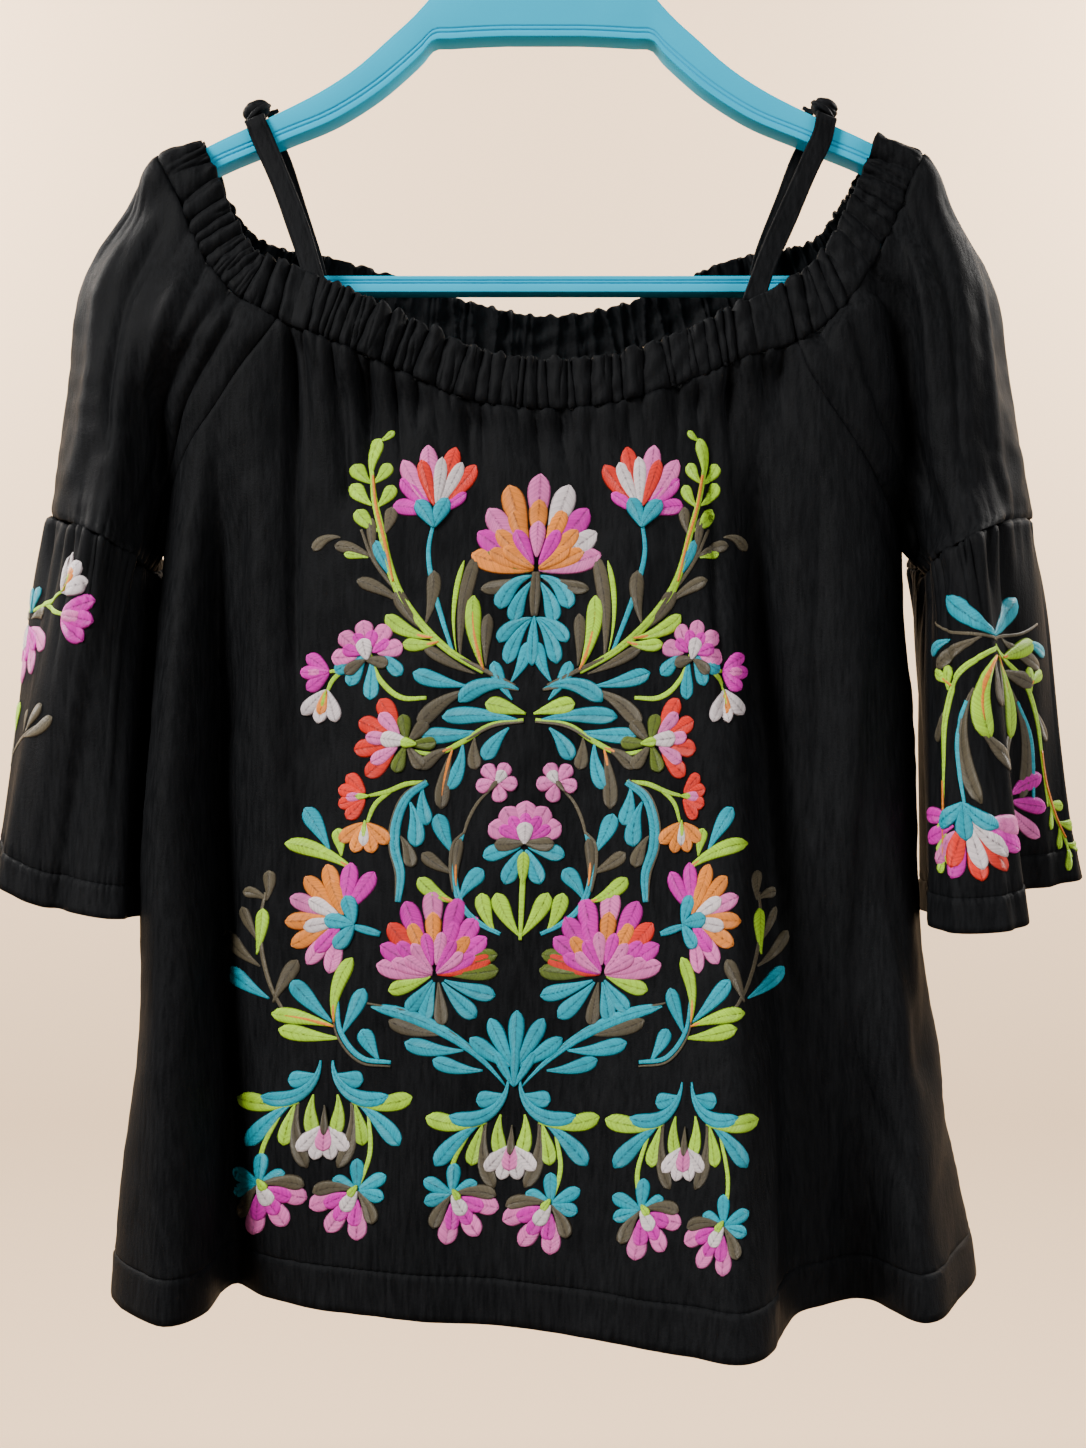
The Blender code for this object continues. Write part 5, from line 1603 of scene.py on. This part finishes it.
def layStitches(name, place, wall):
    look = stitchLook
    points, faces, colours, threadAt, acrossAt = [], [], [], [], []
    first = 0
    for turn, (layer, path, widths, colour) in enumerate(sorted(shapes, key=lambda shape: shape[0])):
        # no two shapes stand equally high
        level = max(layer, 0) * look["layer"] + (turn * 7 % 23) * look["unevenness"]
        placed = placeShape(path, widths, place, wall, layer, level)
        if placed is None:
            continue
        count, around = placed.shape[:2]
        faces += tubeFaces(first + np.arange(count * around).reshape(count, around))
        first += count * around
        points.append(placed.reshape(-1, 3))
        # threads run across a broad shape, aslant from its middle vein, and along a thin one
        dice = np.random.default_rng(len(faces))
        broad = widths.max() > look["broadFrom"]
        slant = look["broadSlant"] if broad else look["thinSlant"]
        aslant = slant * np.abs(acrossPlaces)[None, :] * widths[:, None] * 0.0005
        lay = reaches(path)[:, None] * 0.001 + aslant
        threadAt.append((lay / look["thread"] + dice.uniform(0, 50)).reshape(-1))
        acrossAt.append(np.tile(acrossPlaces if broad else np.full(around, 0.5), count))
        tint = np.array(threads[colour]) * dice.uniform(0.88, 1.10)
        colours.append(np.tile(np.append(tint, 1.0), (count * around, 1)))
    mesh = bpy.data.meshes.new(name)
    mesh.from_pydata(np.concatenate(points).tolist(), [], faces)
    turnOutwards(mesh)
    for label, kind, key, values in (("threadColour", "FLOAT_COLOR", "color", colours),
                                     ("threadAt", "FLOAT", "value", threadAt),
                                     ("acrossAt", "FLOAT", "value", acrossAt)):
        attribute = mesh.attributes.new(label, kind, "POINT")
        attribute.data.foreach_set(key, np.concatenate(values).astype(np.float32).reshape(-1))
    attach(addPiece(name, mesh, threadFinish), "root")
    print(name, len(points), "shapes")


def budsOfLeftFlounce():
    # buds and a flower beside the flounce's outer line, repeated on its far side
    stem([(3, -401), (12, -399), (22, -398), (35, -394)], 2.8, lime)
    stem([(18, -399), (27, -402), (39, -405)], 2.6, lime)
    fan(35, -394, 46, 68, 19, 9.2, [white] * 3, 8, 1)
    petal(35, -394, 46, 15, 8.4, orange, 0, 2)
    petal(35, -394, 46, 11, 3.2, lime, 0, 3)
    fan(39, -405, 100, 56, 22, 9.0, [magenta] * 3, 10, 1)
    petal(39, -405, 98, 14, 6.6, pink, 0, 2)
    leaf(2, -405, 74, 15, 6.4, grey, 34)
    leaf(1, -402, 16, 13, 6.0, teal, -10)
    leaf(0, -461, 14, 15, 5.6, lime, -12)
    stem([(1, -472), (8, -468), (22, -463), (34, -458)], 2.2, grey)
    leaf(24, -463, 74, 24, 6.8, grey, -26)
    leaf(24, -461, 40, 18, 6.4, grey, 8)
    leaf(20, -461, 4, 11, 4.6, grey, -8)


def drawLeftFlounce():
    bothSides(budsOfLeftFlounce)
    fan(0, -408, 180, 132, 25, 9.2, [pink] * 5, 10, 0, 4)
    fan(0, -408, 180, 98, 17, 7.6, [magenta] * 4, 6, 1.5, 2)
    petal(0, -408, 180, 13, 8.0, white, 0, 3)
    stem([(0, -444), (0, -460), (0, -478)], 2.2, grey)


def scrollsOfRightFlounce():
    # scrolls that spring from one point
    leaf(1, -415, -66, 35, 9.8, teal, 32)
    stem([(4, -417), (-14, -415), (-30, -413), (-42, -408)], 1.8, grey)
    leaf(-13, -416, -114, 32, 7.0, grey, -8)
    leaf(-29, -417, -104, 20, 6.2, teal, -14, 1)
    stem([(2, -420), (-14, -425), (-29, -436), (-36, -452), (-40, -478), (-43, -498)], 3.4, lime)
    leaf(-32, -439, -52, 14, 6.0, lime, -30, 0, orange)
    leaf(-34, -441, 4, 12, 5.2, lime, 14)
    leaf(-36, -450, -146, 19, 6.4, grey, 10)
    leaf(-4, -425, -148, 44, 10.0, lime, -58, 1, orange)
    leaf(-5, -427, -176, 22, 6.0, grey, -20)
    leaf(-20, -440, -164, 57, 8.0, grey, -46, -1)
    leaf(-22, -456, 140, 31, 7.6, grey, -10)
    stem([(-24, -446), (-31, -462), (-32, -480), (-31, -495)], 2.8, teal, 1)


def drawRightFlounce():
    # a great tulip hangs from the left half
    bothSides(scrollsOfRightFlounce)
    stem([(-41, -484), (-43, -502), (-45, -520)], 2.0, orange, 2)
    for z in (-500, -509, -518):
        leaf(-44, z, -158, 11, 4.8, lime, 18)
        leaf(-44, z + 4, 158, 10, 4.4, lime, -18)
    fan(-31, -503, 184, 184, 22, 8.2, [pink, magenta, red, red, magenta, pink, magenta, magenta],
        14, 0, 6)
    petal(-26, -502, 102, 24, 8.8, pink, -8, 0.6)
    petal(-26, -504, 120, 25, 8.6, magenta, -8, 0.2)
    fan(-31, -501, 168, 64, 23, 8.0, [white, white, red], 8, 1.5, 2)
    fan(-32, -494, 180, 92, 18, 8.0, [teal] * 3, -16, 3)
    pen["side"] = -1
    stem([(-40, -480), (-46, -496), (-56, -509), (-62, -524)], 2.8, lime)
    stem([(-39, -470), (-42, -486), (-50, -500), (-59, -514)], 1.8, orange, 2)
    for x, z in ((-47, -496), (-55, -506), (-60, -517)):
        leaf(x, z, -104, 13, 5.4, lime, 20)
        leaf(x, z - 2, 172, 12, 5.0, lime, -20)
    fan(-9, -494, -98, 62, 24, 8.4, [pink, magenta, magenta], 8, 0, 7)
    pen["side"] = 1
    leaf(13, -425, 76, 25, 8.2, lime, -16, 1, orange)
    leaf(12, -432, 100, 24, 8.0, grey, 16)


threadFinish = stitchMaterial()
frontEye = (0.0, -0.80, -0.457)  # the camera's place, straight in front of the blouse
for name, draw, place, wall in (
        ("embroidery_front", drawFront, ontoFront(frontCloth, frontEye), frontLook["wall"]),
        ("embroidery_left_flounce", drawLeftFlounce, roundFlounce(leftFlounceCloth, True, 0.47, -1),
         flounceLook["wall"]),
        ("embroidery_right_flounce", drawRightFlounce, roundFlounce(rightFlounceCloth, False, 0.346, 1),
         flounceLook["wall"])):
    shapes.clear()
    draw()
    layStitches(name, place, wall)
print("embroidery laid")


# stage, light and camera

# low is the floor's colour, dark brown: a painted shade that keeps bounce light off the undersides
stageLook = {"floorZ": -2.70, "wallY": 3.4, "width": 14.0, "length": 10.0, "height": 7.0, "curve": 1.2,
             "colour": (0.92, 0.66, 0.42), "low": (0.20, 0.15, 0.11),
             "world": (1.0, 0.93, 0.84), "worldStrength": 0.42, "lens": 39.8}
# The lights: place, what it looks at, power, size, colour.
middle = (0.0, 0.0, -0.42)
lights = (
    ("backdrop", (-3.0, 1.6, 1.8), (-0.6, 3.4, -0.3), 360.0, 1.6, (1.0, 0.97, 0.93)),
    ("backdrop", (3.0, 1.6, 1.8), (0.6, 3.4, -0.3), 360.0, 1.6, (1.0, 0.97, 0.93)),
    ("key", (-1.6, -1.35, 1.0), middle, 114.0, 0.9, (1.0, 0.98, 0.95)),
    ("fill", (1.5, -1.5, -0.1), middle, 23.0, 1.6, (0.97, 0.98, 1.0)),
    ("rim", (0.8, 1.8, 1.0), middle, 22.0, 1.2, (1.0, 0.98, 0.96)),
)


def makeStage():
    look = stageLook
    bpy.ops.object.select_all(action="DESELECT")
    bpy.ops.mesh.primitive_plane_add(size=1.0, location=(0, 0, 0))
    openMesh()
    bpy.ops.transform.resize(value=(look["width"], look["length"], 1.0), center_override=(0, 0, 0))
    bpy.ops.transform.translate(value=(0.0, look["wallY"] - look["length"] / 2, look["floorZ"]))
    pick(lambda point: point.y > look["wallY"] - 0.01)
    bpy.ops.mesh.extrude_region_move(TRANSFORM_OT_translate={"value": (0.0, 0.0, look["height"])})
    bpy.ops.object.mode_set(mode="OBJECT")
    sweep = bpy.context.object
    sweep.name = "floor_sweep"
    bevelled(sweep, look["curve"], 16, 30)
    applyModifiers(sweep)
    bpy.ops.object.transform_apply(location=True, rotation=True, scale=True)
    bpy.ops.object.shade_smooth()
    finish = Finish("pale wall over shade-dark floor", Roughness=0.9)
    where = finish.node("ShaderNodeTexCoord", output=3)
    height = finish.node("ShaderNodeSeparateXYZ", {}, {0: where}, output=2)
    # the floor and the foot of the sweep take the dark low colour, a painted shade from below; higher up the
    # sweep is the pale wall colour
    finish.feed("Base Color", finish.mixed(((height + 2.55) * 3.0).held(), look["low"], look["colour"]))
    sweep.data.materials.append(finish.material)


def softLight(name, place, aim, power, size, colour):
    data = bpy.data.lights.new(name, "AREA")
    data.energy, data.size, data.color = power, size, colour
    light = bpy.data.objects.new(name, data)
    light.location = place
    light.rotation_euler = (Vector(aim) - Vector(place)).to_track_quat("-Z", "Y").to_euler()
    bpy.context.scene.collection.objects.link(light)


makeStage()
for light in lights:
    softLight(*light)
world = bpy.data.worlds.new("room")
world.use_nodes = True
background = world.node_tree.nodes["Background"]
background.inputs["Color"].default_value = (*stageLook["world"], 1.0)
background.inputs["Strength"].default_value = stageLook["worldStrength"]
bpy.context.scene.world = world

cameraData = bpy.data.cameras.new("camera")
cameraData.lens, cameraData.sensor_width = stageLook["lens"], 36.0
cameraData.clip_start, cameraData.clip_end = 0.05, 60.0
camera = bpy.data.objects.new("camera", cameraData)
camera.location = frontEye
camera.rotation_euler = (pi / 2, 0.0, 0.0)
bpy.context.scene.collection.objects.link(camera)
bpy.context.scene.camera = camera
print("lit and framed")
